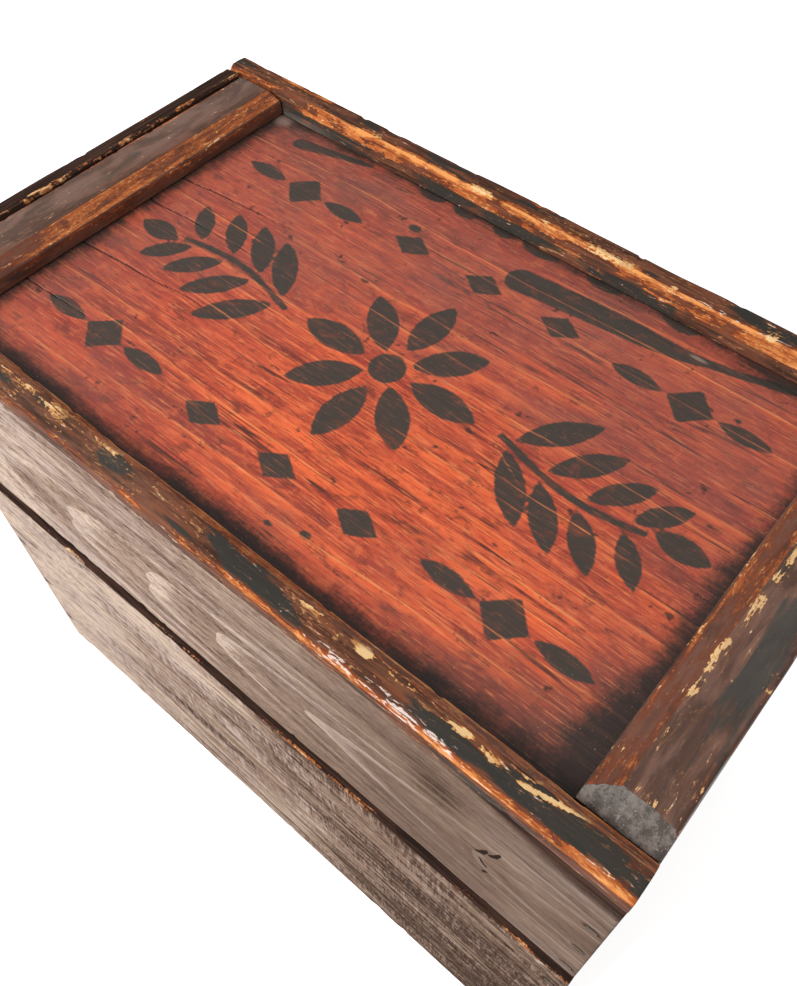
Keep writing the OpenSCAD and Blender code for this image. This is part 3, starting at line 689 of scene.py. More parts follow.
    rim_colour = f.tint(rim_colour, fresh, flake, 0.66, 0.80)
    rim = f.swayed(f.field("rim_paint"), fine, 0.35)
    colour = f.tint(colour, rim_colour, rim, 0.15, 0.80)
    rough = f.step(cloud, 0.3, 0.7, 0.72, 0.88)
    return f.surface(colour, rough, height, 0.00045 if sawn else 0.0003, 0.004)


def plain_metal(name, colour, second, rust, roughness, metallic):
    """Old metal: two tones in clouds, pitted spots and finer scratches."""
    f = Finish(name)
    cloud = f.noise((160, 160, 160), 4.0, 0.6)
    fine = f.noise((1400, 1400, 1400), 4.0, 0.65)
    tone = f.tint(colour, second, cloud, 0.36, 0.66)
    tone = f.tint(tone, rust, fine, 0.56, 0.70, 0.75)
    height = f.added(f.times(cloud, 0.4), fine, 0.6)
    rough = f.step(fine, 0.3, 0.75, roughness, min(1.0, roughness + 0.3))
    return f.surface(tone, rough, height, 0.00012, 0.5, metallic)


# Fields on the pieces


def nail_rust(x, z, nails, reach=3.2):
    """Dark rust round nails: bells about each head, drawn out a little along the grain."""
    parts = [np.exp(-(((x - nx) / (1.5 * reach)) ** 2 + ((z - nz) / reach) ** 2)) for nx, nz in nails]
    return np.clip(sum(parts), 0, 1)


def line_groove(u, v, start, finish, width, bend, seed):
    """Closeness to a wandering line from start to finish, tapering to nothing at the finish."""
    part = np.clip((u - start[0]) / (finish[0] - start[0]), 0, 1)
    middle = start[1] + (finish[1] - start[1]) * part + bend * wander(u, 17.0, seed)
    inside = ((u - start[0]) * (u - finish[0]) <= 0).astype(float)
    taper = np.clip(1.6 * (1 - part), 0, 1) ** 0.5
    return inside * taper * np.exp(-(((v - middle) / (width * (0.35 + 0.65 * taper))) ** 2))


def petal(x, y, middle, turn, long, wide):
    """Distance, roughly in millimetres, to a pointed petal: the overlap of two circles, below zero inside."""
    dx, dy = x - middle[0], y - middle[1]
    u = dx * np.cos(turn) + dy * np.sin(turn)
    v = np.abs(-dx * np.sin(turn) + dy * np.cos(turn))
    radius = (long**2 + wide**2) / (2 * wide)
    return np.hypot(u, v + radius - wide) - radius


def blob(x, y, start, finish, first, last):
    """Distance to a stroke with round ends whose half-width runs from first to last."""
    along_x, along_y = finish[0] - start[0], finish[1] - start[1]
    part = ((x - start[0]) * along_x + (y - start[1]) * along_y) / (along_x**2 + along_y**2)
    part = np.clip(part, 0, 1)
    far = np.hypot(x - start[0] - part * along_x, y - start[1] - part * along_y)
    return far - (first + (last - first) * part)


def stencil_ornament(x, y, centre):
    """Stencilled ornament: petals round a boss, leaf sprays to both sides, and lozenges at the corners."""
    u, v = x - centre[0], y - centre[1]
    shapes = [np.hypot(u, v) - 7.5]
    for k in range(8):
        turn = np.pi * k / 4
        reach = 27.0 if k % 2 == 0 else 24.5
        shapes.append(petal(u, v, (reach * np.cos(turn), reach * np.sin(turn)), turn, 15.5, 6.6))
    for side in (-1, 1):
        bend = 5.0 * np.sin(side * u / 19.0)
        shapes.append(np.maximum(np.abs(v - side * bend) - 1.5, np.abs(side * u - 84) - 32))
        for k in range(4):
            root = 58 + 17.0 * k
            rise = side * 5.0 * np.sin(root / 19.0)
            size = 17.0 - 1.8 * k
            for lean in (-1, 1):
                turn = lean * 0.86
                tip = (side * (root + size * np.cos(turn)), rise + size * np.sin(turn) + 2.5 * lean)
                shapes.append(petal(u, v, tip, side * turn, size, 5.6 - 0.4 * k))
        shapes.append(petal(u, v, (side * 128, side * 1.5), 0.0, 11.0, 5.2))
        for row in (-1, 1):
            cx, cy = side * 98, row * 57
            shapes.append((np.abs(u - cx) + np.abs(v - cy)) / 1.414 - 7.0)
            for k in (-1, 1):
                shapes.append(petal(u, v, (cx + 23 * k, cy), 0.0, 11.5, 3.8))
    for row in (-1, 1):
        for k in (-1, 0, 1):
            shapes.append((np.abs(u - 38 * k) / 1.5 + np.abs(v - row * 60)) / 1.2 - 5.4)
    return np.minimum.reduce(shapes)


def spot(u, v, middle, reach, height=1.0):
    """Bell of a given height about a place, with its own reach along each direction."""
    return height * np.exp(-(((u - middle[0]) / reach[0]) ** 2 + ((v - middle[1]) / reach[1]) ** 2))


def spots(u, v, rows):
    """Sum of bells, each row giving a middle, a reach and a height."""
    return sum(spot(u, v, *row) for row in rows)


def grooves(u, v, rows):
    """Sum of wandering lines, each row giving a start, a finish, a width, a bend and a seed."""
    return sum(line_groove(u, v, *row) for row in rows)


def corner_nails(end_thick, heights):
    """Places of the corner nails on a long board."""
    return [(side * (HALF_LENGTH - end_thick / 2), z) for side in (-1, 1) for z in heights]


def box_corners(low, high, across):
    """Corners of a board's section; across is the axis number of the section's first coordinate."""
    first, last = (low[across], high[across])
    return [(first, low[2]), (last, low[2]), (last, high[2]), (first, high[2])]


def cut_board(axis, low, high, rounds, steps, pitch, end_round, extra=(), corners=None):
    """A board that fills its node's box along the axis, with a section of its own where corners are given."""
    path, across = (0, 1) if axis == "X" else (1, 0)
    if corners is None:
        corners = box_corners(low, high, across)
    return Board(axis, corners, rounds, steps, (low[path], high[path]), pitch, end_round, extra)


def aged_board(board, side, seed, sizes, nails, kept=()):
    """Ages a bare board: its outer face shrinks behind the nail heads, and edges not kept are rubbed."""
    outer = ramp(side * board.na, 0.82, 0.97)
    wave = 0.5 + 0.5 * rough_drift([board.along, board.b], (60.0, 24.0), seed)
    board.push(-(sizes.weathering / MM) * outer * (0.8 + 0.5 * wave))
    rubbed = [k for k in range(int(board.edge.max()) + 1) if k not in kept]
    board.rub(rubbed, sizes.board_wear / MM * 0.5, 2.0, seed)
    board.field("inside", ramp(-side * board.na, 0.9, 0.99) * ramp(board.from_end, 1.5, 3.0))
    board.field("rust", nail_rust(board.along, board.b, nails) * outer)
    return outer


def painted_rim(board, rim, up, outer_edge, seed):
    """Dark paint on a rim, rubbed along its outer edge."""
    facing = ramp(up * board.nb, 0.35, 0.7) * ramp(up * (board.b - rim), -6.0, -4.0)
    board.field("rim_paint", facing)
    patches = 0.5 + 0.5 * rough_drift([board.along], (20.0,), seed)
    reach = 0.35 + 0.5 * ramp(board.along, 60, 175)
    board.field("rim_wear", reach * board.at_edge([outer_edge], 1.0) * (0.40 + 0.9 * patches))


def hinge_ends():
    """Stations just inside and outside both ends of each hinge seat."""
    boxes = [node_box(f"{side}_hinge_base_leaf") for side in ("left", "right")]
    ends = np.array([[low[0] - SEAT_MARGIN, high[0] + SEAT_MARGIN] for low, high in boxes]).reshape(-1)
    return np.concatenate([ends - 0.02, ends + 0.02])


def hinge_seats(board, rim, up, depth):
    """Sinks a rim into flat seats for the hinge leaves and round ones for their knuckles."""
    x, y = board.along, board.a
    for side in ("left", "right"):
        low, high = node_box(f"{side}_hinge_base_leaf")
        pin = sum(node_box(f"{side}_hinge_pin")) / 2
        here = (x > low[0] - SEAT_MARGIN) & (x < high[0] + SEAT_MARGIN) & (up * board.nb > 0.3)
        flat = np.where((y > low[1] - 0.2) & (y < pin[1]), -depth, 0.0)
        across = np.clip((high[1] - pin[1] + 0.25) ** 2 - (y - pin[1]) ** 2, 0, None)
        hollow = np.where(across > 0, up * (pin[2] - rim) - np.sqrt(across), 0.0)
        sunk = np.minimum(up * (board.b - rim), np.minimum(flat, hollow))
        board.b = np.where(here, rim + up * sunk, board.b)


BARE_FIELDS = ("rust", "split", "splinter", "inside", "rim_paint", "rim_wear", "bleach_and_light", "figure", "deep")
BARE_ENDS = {"bleach_and_light": 0.24}
PAINT_FIELDS = ("wear", "chips", "black", "cut_end", "pale", "dust", "glint")
PAINT_ENDS = {"wear": 0.30, "black": -0.06}


def fill_fields(board, names, ends):
    """Gives a board nothing in each of the named fields that it lacks, and the values of its end faces."""
    board.ends = ends
    for name in names:
        if name not in board.fields:
            board.field(name, 0.0)


def bare_piece(name, board, node, body, wood):
    """Makes a bare board's mesh and puts it in its node's place."""
    fill_fields(board, BARE_FIELDS, BARE_ENDS)
    place(board_mesh(name, board), node, body, wood)


def painted_piece(name, board, node, material):
    """Makes the mesh of a painted piece of the lid and puts it in its node's place."""
    fill_fields(board, PAINT_FIELDS, PAINT_ENDS)
    place(board_mesh(name, board), node, "lid", material)


def painted_fields(board, tops, base, reach, seed):
    """Wear of a painted piece: high along the listed edges, in drifting patches, over a low base."""
    patches = 0.5 + 0.5 * rough_drift([board.along, board.edge * 41.0], (26.0, 9.0), seed)
    wear = np.full(board.a.shape, base)
    for number, strength in tops.items():
        wear = wear + strength * board.at_edge([number], reach) * (0.40 + 0.85 * patches)
    return wear


class DISPLAYBOX_OT_rails(bpy.types.Operator):
    """Front and back rails: a section with a rounded outer edge and a bevelled inner edge, carried along X"""

    bl_idname = "displaybox.rails"
    bl_label = "Rails"

    def execute(self, context):
        sizes, colours = context.scene.box_sizes, context.scene.box_colours
        material = painted_wood("worn rail paint", "X", colours, 0.50, 0.12, 1.0, 0.006)
        self.front(sizes, material)
        self.back(sizes, material)
        return {"FINISHED"}

    def front(self, sizes, material):
        """Front rail: rubbed along its outer edge, with black patches, scratches and glints."""
        bevel, round_off = sizes.rail_bevel / MM, sizes.rail_round / MM
        low, high = node_box("front_rail")
        corners = box_corners(low, high, 1)
        corners[2:3] = [(high[1], high[2] - bevel), (high[1] - bevel, high[2])]
        rounds = [0.6, 0.5, 0.9, 1.1, round_off]
        rail = cut_board("X", low, high, rounds, [8, 6, 9, 14, 12], 0.9, 1.2, corners=corners)
        rail.rub([0, 2, 4], sizes.edge_wear / MM, 2.0, 11)
        rail.rub([3], sizes.edge_wear / MM * 0.3, 2.0, 15)
        rail.push(-0.15 * (1 + wander(rail.along, 45.0, 5)))
        x, y = rail.along, rail.a
        top = ramp(rail.nb, 0.6, 0.95)
        face = ramp(-rail.na, 0.75, 0.97)
        slope = ramp(rail.na, 0.4, 0.6) * ramp(rail.nb, 0.4, 0.6)
        wear = painted_fields(rail, {4: 0.24, 3: 0.12, 2: 0.42, 0: 0.10}, 0.05, 1.1, 21)
        wear = wear + 0.42 * rail.at_edge([4], 1.1) * (ramp(x, -10, 70) + 0.8 * bump(x, 178, 10))
        wear = wear + 0.16 * rail.at_edge([4], 2.5) * rough_drift([x, y], (8.0, 2.0), 45)
        wear = wear * (1 - 0.75 * ramp(y, -104.6, -103.0) * ramp(y, -98.0, -100.0))
        # The lower front face keeps its paint and is blackened: partly dirt, partly painted shade.
        low_face = ramp(rail.b, low[2] + 4.0, low[2] + 7.0)
        wear = wear * (1 - 0.8 * face * (1 - low_face))
        wear = wear + face * (0.10 * low_face + 0.10 * wander(x, 24.0, 8))
        # The inner bevel's extra wear is partly painted light, lifting a face left in shade.
        wear = wear + 0.47 * slope + 0.14 * top * bump(y, -95.3, 1.6)
        rail.field("wear", wear + (0.09 + 0.10 * wander(x, 12.0, 38)) * top * ramp(x, 20, -60))
        patches = [
            ((153, -99.5), (25, 3.6), 0.30),
            ((112, -100.5), (15, 2.4), 0.22),
            ((34, -100), (18, 2.6), 0.16),
            ((-30, -99.5), (16, 2.8), 0.15),
            ((-120, -99.5), (26, 3.2), 0.18),
            ((-72, -98), (12, 2.4), 0.16),
        ]
        black = top * (spots(x, y, patches) - 0.02 - 0.05 * slope) - 0.3 * (1 - top)
        # On the lower front face the black is partly dirt and partly painted shade.
        rail.field("black", black + 0.32 * face * (1 - low_face))
        flakes = [
            ((80, -96.4), (2.8, 1.6), 2.4),
            ((57, -96.4), (5.0, 1.0), 0.95),
            ((118, -97.5), (4.5, 1.2), 0.9),
            ((128, -98.5), (4.0, 1.0), 0.9),
        ]
        chips = spots(x, y, flakes)
        chips = chips + 0.9 * bump(y, -99 + 4 * (x - 139) / 21, 0.6) * ramp(x, 136, 141) * ramp(x, 163, 158)
        broken = patchy(x, 7.0, 31, 0.05, 0.8)
        chips = chips + 0.36 * broken * (rail.at_edge([3], 3.4) + 0.7 * rail.at_edge([2], 1.5))
        chips = chips + 0.40 * patchy(x, 9.0, 35, 0.0, 0.9) * rail.at_edge([4], 1.5) * ramp(x, -60, 30)
        inner_row = 0.12 + 0.24 * ramp(x, 40, -30) + 0.10 * wander(x, 30.0, 37)
        chips = chips + inner_row * bump(y, -96.5, 3.6)
        rail.field("chips", chips * ramp(rail.nb, 0.3, 0.7))
        # Painted highlights along the outer edge.
        bright = ramp(x, 58, 76) * ramp(x, 138, 112) * (0.75 + 0.35 * wander(x, 6.0, 36))
        rail.field("glint", 0.55 * rail.at_edge([4], 0.8) * bright)
        # Pale dust on the top toward the left end and on the inner bevel: partly dust, partly painted sheen.
        rail.field("dust", 0.04 * top * ramp(x, 40, -40) + 0.16 * slope)
        painted_piece("front_rail_worn", rail, "front_rail", material)

    def back(self, sizes, material):
        """Back rail: bared along its inner bevel, thinly rubbed along its outer edge."""
        bevel, round_off = sizes.rail_bevel / MM, sizes.rail_round / MM
        low, high = node_box("back_rail")
        corners = box_corners(low, high, 1)
        corners[3:4] = [(low[1] + bevel, high[2]), (low[1], high[2] - bevel)]
        rounds = [0.5, 0.6, round_off, 1.1, 0.9]
        rail = cut_board("X", low, high, rounds, [6, 12, 14, 12, 9], 0.9, 1.2, corners=corners)
        rail.rub([1, 2, 4], sizes.edge_wear / MM, 2.0, 12)
        rail.rub([3], sizes.edge_wear / MM * 0.3, 2.0, 16)
        rail.push(-0.15 * (1 + wander(rail.along, 45.0, 6)))
        x, y = rail.along, rail.a
        top = ramp(rail.nb, 0.6, 0.95)
        slope = ramp(-rail.na, 0.4, 0.6) * ramp(rail.nb, 0.4, 0.6)
        wear = painted_fields(rail, {2: 0.30, 3: 0.16, 4: 0.20, 1: 0.22}, 0.03, 1.4, 22)
        wear = wear + 0.55 * rail.at_edge([2], 2.0) * (bump(x, -147, 8) + bump(x, -124, 6))
        patches = rough_drift([x, rail.b], (12.0, 1.6), 43)
        sunk = np.clip((high[2] - rail.b) / bevel, 0, 1)
        bared = 0.30 + (0.20 - 0.22 * sunk) * ramp(x, -128, -100) + 0.24 * patches
        bared = bared + 0.26 * ramp(x, -118, -96) * ramp(x, 6, -30) * ramp(sunk, 1.0, 0.75)
        bared = bared + 0.06 * ramp(x, -20, 40) + 0.34 * ramp(x, 92, 112) * ramp(sunk, 0.3, 0.7)
        ridge = rail.at_edge([3], 1.8) * ramp(x, -128, -100) * (0.30 + 0.24 * rough_drift([x], (9.0,), 44))
        rail.field("wear", wear + slope * bared + ridge)
        # Painted shadow at the rail's foot, laid through the black field.
        foot_shadow = (0.40 * ramp(-rail.na, 0.86, 0.97) + 0.26 * slope * ramp(sunk, 0.7, 1.0)) * ramp(x, 112, 92)
        rail.field("black", top * (0.06 * bump(y, high[1] - 4, 4) - 0.05) - 0.3 * (1 - top) + foot_shadow)
        broken = patchy(x, 7.0, 41, 0.0, 0.9)
        chips = broken * (0.95 * rail.at_edge([3], 2.0) * ramp(x, -130, -60) + 0.24 * rail.at_edge([4], 1.8))
        flecked = ramp(drift([x, y], (14.0, 2.0), 42), -0.2, 0.7) * ramp(rail.nb, 0.9, 0.99)
        rail.field("chips", chips + 0.34 * ramp(x, -10, 60) * flecked)
        # Painted highlights along the ridge toward the right.
        rail.field("glint", 0.42 * rail.at_edge([3], 1.0) * ramp(x, 30, 90))
        rail.field("dust", 0.4 * rail.at_edge([0], 4.0) * bump(x, -130, 14))
        painted_piece("back_rail_worn", rail, "back_rail", material)


class DISPLAYBOX_OT_battens(bpy.types.Operator):
    """Battens: a section with a shallow inner bevel, carried along Y; the right front end slopes"""

    bl_idname = "displaybox.battens"
    bl_label = "Battens"

    def execute(self, context):
        sizes, colours = context.scene.box_sizes, context.scene.box_colours
        material = painted_wood("worn batten paint", "Y", colours, 0.52, 0.34, 0.30, 0.10)
        self.left(sizes, material)
        self.right(sizes, material)
        return {"FINISHED"}

    def left(self, sizes, material):
        """Left batten: its inner bevel redder, its outer edge chipped."""
        bevel, drop = sizes.batten_bevel / MM, sizes.batten_drop / MM
        low, high = node_box("left_batten")
        corners = box_corners(low, high, 0)
        corners[2:3] = [(high[0], high[2] - drop), (high[0] - bevel, high[2])]
        rounds = [0.4, 0.4, 1.2, 2.5, 1.2]
        strip = cut_board("Y", low, high, rounds, [12, 6, 9, 18, 6], 1.0, 1.0, corners=corners)
        strip.rub([2, 4], sizes.edge_wear / MM, 2.2, 13)
        strip.push(-0.12 * (1 + wander(strip.along, 40.0, 7)))
        y = strip.along
        slope = ramp(strip.na, 0.1, 0.22) * ramp(strip.nb, 0.8, 0.95)
        wear = painted_fields(strip, {4: 0.40, 2: 0.16, 3: 0.10}, 0.05, 1.7, 23)
        wear = wear + slope * (0.40 + 0.12 * wander(y, 30.0, 9))
        strip.field("wear", wear + 0.28 * ramp(strip.na, 0.8, 0.95))
        chips = strip.at_edge([4], 2.2) * (0.75 * patchy(y, 7.0, 51, -0.2, 0.7) * bump(y, 70, 24))
        edges = 0.20 * strip.at_edge([2], 1.6) + 0.34 * strip.at_edge([4], 2.0)
        strip.field("chips", chips + patchy(y, 6.0, 53, 0.1, 0.9) * edges)
        strip.field("black", -0.13)
        # Pale haze on the flat top: partly dust, partly painted sheen.
        flat = ramp(strip.a, high[0] - bevel + 1, high[0] - bevel - 9)
        strip.field("dust", 0.12 * flat * ramp(strip.nb, 0.97, 0.998))
        painted_piece("left_batten_worn", strip, "left_batten", material)

    def right(self, sizes, material):
        """Right batten: the front end is cut down on a slope whose upper edge is an arc."""
        bevel, drop = sizes.batten_bevel / MM, sizes.batten_drop / MM
        low, high = node_box("right_batten")
        corners = box_corners(low, high, 0)
        corners[3:4] = [(low[0] + bevel, high[2]), (low[0], high[2] - drop)]
        cut, fall = sizes.end_bevel / MM, sizes.end_drop / MM
        rounds = [0.4, 0.4, 1.6, 2.5, 1.2]
        strip = cut_board("Y", low, high, rounds, [12, 6, 18, 9, 6], 0.8, 1.0, corners=corners)
        strip.rub([2, 4], sizes.edge_wear / MM, 2.2, 14)
        strip.push(-0.12 * (1 + wander(strip.along, 40.0, 10)))
        y, x = strip.along, strip.a
        from_front = y - low[1]
        arc = 0.9 * ((x - (low[0] + high[0]) / 2) / 14.0) ** 2
        slope = high[2] - fall + (from_front + arc) * fall / cut
        on_cut = ramp(strip.b - slope, -0.05, 0.15) * ramp(strip.nb, 0.2, 0.6)
        strip.b = np.minimum(strip.b, slope)
        wear = painted_fields(strip, {2: 0.26, 4: 0.20, 3: 0.12}, 0.05, 1.7, 24)
        inner = ramp(-strip.na, 0.1, 0.22) * ramp(strip.nb, 0.8, 0.95)
        strip.field("wear", wear + inner * (0.27 + 0.10 * wander(y, 30.0, 19)))
        row = bump(x, low[0] + bevel + 1.0 + 0.8 * wander(y, 14.0, 62), 1.5) * ramp(strip.nb, 0.8, 0.95)
        chips = row * (0.34 + 0.56 * patchy(y, 5.0, 61, -0.25, 0.6)) * ramp(y, low[1] + 10, low[1] + 45)
        edges = strip.at_edge([4], 1.8) + strip.at_edge([2], 2.0)
        chips = chips + 0.32 * patchy(y, 6.0, 63, 0.1, 0.9) * edges
        chips = chips + 0.40 * bump(from_front + arc, cut + 0.8, 1.4) * patchy(x, 5.0, 64, -0.2, 0.6)
        strip.field("chips", chips)
        strip.field("cut_end", on_cut)
        strip.field("pale", 0.85 * on_cut * ramp(high[0] - x, 4, 26) * ramp(from_front, 0.5, 7.0))
        strip.field("black", -0.08 + 0.13 * ramp(x, low[0] + 11, low[0] + 21))
        # Pale haze on the top: partly dust, partly painted sheen.
        strip.field("dust", 0.07 * ramp(strip.nb, 0.97, 0.998))
        painted_piece("right_batten_worn", strip, "right_batten", material)


class DISPLAYBOX_OT_panel(bpy.types.Operator):
    """Top panel: a flat board along X with raised grain, splits, a painted border and an ornament"""

    bl_idname = "displaybox.panel"
    bl_label = "Panel"

    def execute(self, context):
        colours = context.scene.box_colours
        low, high = node_box("lid_panel")
        panel = cut_board("X", low, high, [0.5, 0.5, 0.8, 0.8], [24, 4, 400, 4], 2.1, 0.6)
        x, y = panel.along, panel.a
        top = ramp(panel.nb, 0.6, 0.95)
        left, right = node_box("left_batten")[1][0], node_box("right_batten")[0][0]
        relief = 0.10 * drift([x, y], (70.0, 2.2), 81) + 0.05 * drift([x, y], (45.0, 0.9), 82)
        relief = relief + 0.12 * drift([x, y], (120.0, 22.0), 83)
        splits = [
            ((left - 6, -28.3), (-49.0, -19.3), 0.40, 0.7, 84),
            ((left - 6, 9.9), (-62.0, 13.2), 0.30, 0.7, 85),
            ((left - 6, 28.8), (-70.0, 35.2), 0.34, 0.7, 86),
            ((left - 6, -58.0), (-96.0, -55.0), 0.28, 0.7, 87),
        ]
        split = np.clip(grooves(x, y, splits), 0, 1) * top
        panel.b = panel.b + top * (relief * ramp(panel.from_end, 0.8, 4.0) - 0.22) - 0.8 * split
        panel.field("split", split)
        ridge, glow = self.raised_lines(x, y)
        scratch = line_groove(x, y, (54.0, -0.5), (90.0, -18.5), 0.4, 0.3, 95)
        panel.field("ridge", np.maximum(ridge, scratch) * top)
        panel.field("glow", glow * (1 - 0.55 * ramp(x, 30, -80)) + spot(x, y, (40, -40), (84, 40), 0.42))
        panel.field("shade", (1 - glow) * top)
        wobble = 1.3 * rough_drift([x, y], (26.0, 13.0), 91)
        front = y - low[1] - 5.6 - wobble - 1.4 * wander(x, 60.0, 92)
        back = high[1] - y - 2.4 - 4.6 * ramp(x, 98, 114) - wobble
        sides = np.minimum(x - left - 3.2, right - x - 3.6 - 7.0 * ramp(y, -20, -78)) - 1.6 * wobble
        panel.field("border", np.clip(np.minimum.reduce([front, back, sides]), -12, 12))
        # Dirt and painted shade: darker close to the frame and in the corners, darker to the left, lighter in
        # front of the middle.
        near = np.minimum.reduce([y - low[1], high[1] - y, x - left, right - x])
        grime_and_shade = 0.30 * np.exp(-np.clip(near, 0, None) / 11) + spot(x, y, (right, low[1]), (70, 42), 0.60)
        grime_and_shade = grime_and_shade + spot(x, y, (left, high[1]), (34, 24), 0.36)
        grime_and_shade = grime_and_shade + spot(x, y, (right, high[1]), (30, 24), 0.25)
        panel.field("grime_and_shade", grime_and_shade - spot(x, y, (30, -45), (90, 34), 0.16) - 0.06 + 0.09 * ramp(x, 0, -110))
        panel.field("haze", 0.58 - spot(x, y, (28, -36), (112, 50), 0.60))
        strokes = self.strokes(x, y, (left + right) / 2, high[1])
        panel.field("paint", np.clip(np.minimum.reduce(strokes), -8, 8))
        dust = 0.8 * spot(x, y, (left + 4, high[1] - 4), (7, 6))
        panel.field("dust", dust + spot(x, y, (93.5, 80.0), (5.0, 1.3)))
        panel.field("under", ramp(-panel.nb, 0.9, 0.99) * ramp(panel.from_end, 1.0, 2.0))
        panel.ends = {"border": -12.0, "paint": 8.0}
        piece = board_mesh("lid_panel_stained", panel)
        place(piece, "lid_panel", "lid", stained_panel(colours))
        return {"FINISHED"}

    def strokes(self, x, y, middle, back):
        """Distances to the paint: the ornament, a smear of joined strokes, blots at the back and drops."""
        shapes = [stencil_ornament(x, y, (middle, 0.0))]
        smear = [
            (15.5, 71.8, 6.8),
            (45, 74.8, 6.2),
            (70, 76.6, 5.4),
            (87, 77.7, 3.8),
            (98, 80.1, 2.3),
            (111, 82.8, 1.8),
            (134, 89.6, 2.4),
        ]
        for (x0, y0, r0), (x1, y1, r1) in zip(smear, smear[1:]):
            shapes.append(blob(x, y, (x0, y0), (x1, y1), r0, r1))
        shapes.append(blob(x, y, (-119.0, 81.0), (-82.0, 89.5), 3.6, 1.2))
        for cx, wide in ((-47, 8), (-29, 7), (-8, 6), (11, 10), (43, 9), (79, 9)):
            shapes.append((np.hypot((x - cx) / wide, (y - back) / 5.0) - 1) * 4)
        drops = ((-39, 69, 2.4), (33.2, -74.6, 1.8), (20, -79, 1.3), (-30, -72, 1.0), (120, 62, 1.2))
        for cx, cy, size in drops:
            shapes.append(np.hypot((x - cx) / 1.3, y - cy) - size)
        return shapes

    def raised_lines(self, x, y):
        """Thin raised lines along the grain, each with a paler band: bells across lines that wander."""
        ridge, glow = np.zeros(x.shape), np.zeros(x.shape)
        for k, start in enumerate(np.arange(-84, 90, 8.7)):
            place_y = start + 3.0 * wander(x * 0 + k, 1.0, 181) + 2.4 * wander(x, 95.0, 182 + k)
            place_y = place_y + 0.5 * wander(x, 21.0, 282 + k)
            strength = patchy(x, 52.0, 382 + k, -0.45, 0.5)
            across = y - place_y
            ridge = np.maximum(ridge, strength * np.exp(-((across / 0.42) ** 2)))
            band = np.exp(-np.abs(across) / np.where(across > 0, 0.5, 3.2))
            glow = np.maximum(glow, (0.25 + 0.75 * strength) * band)
        return ridge, glow


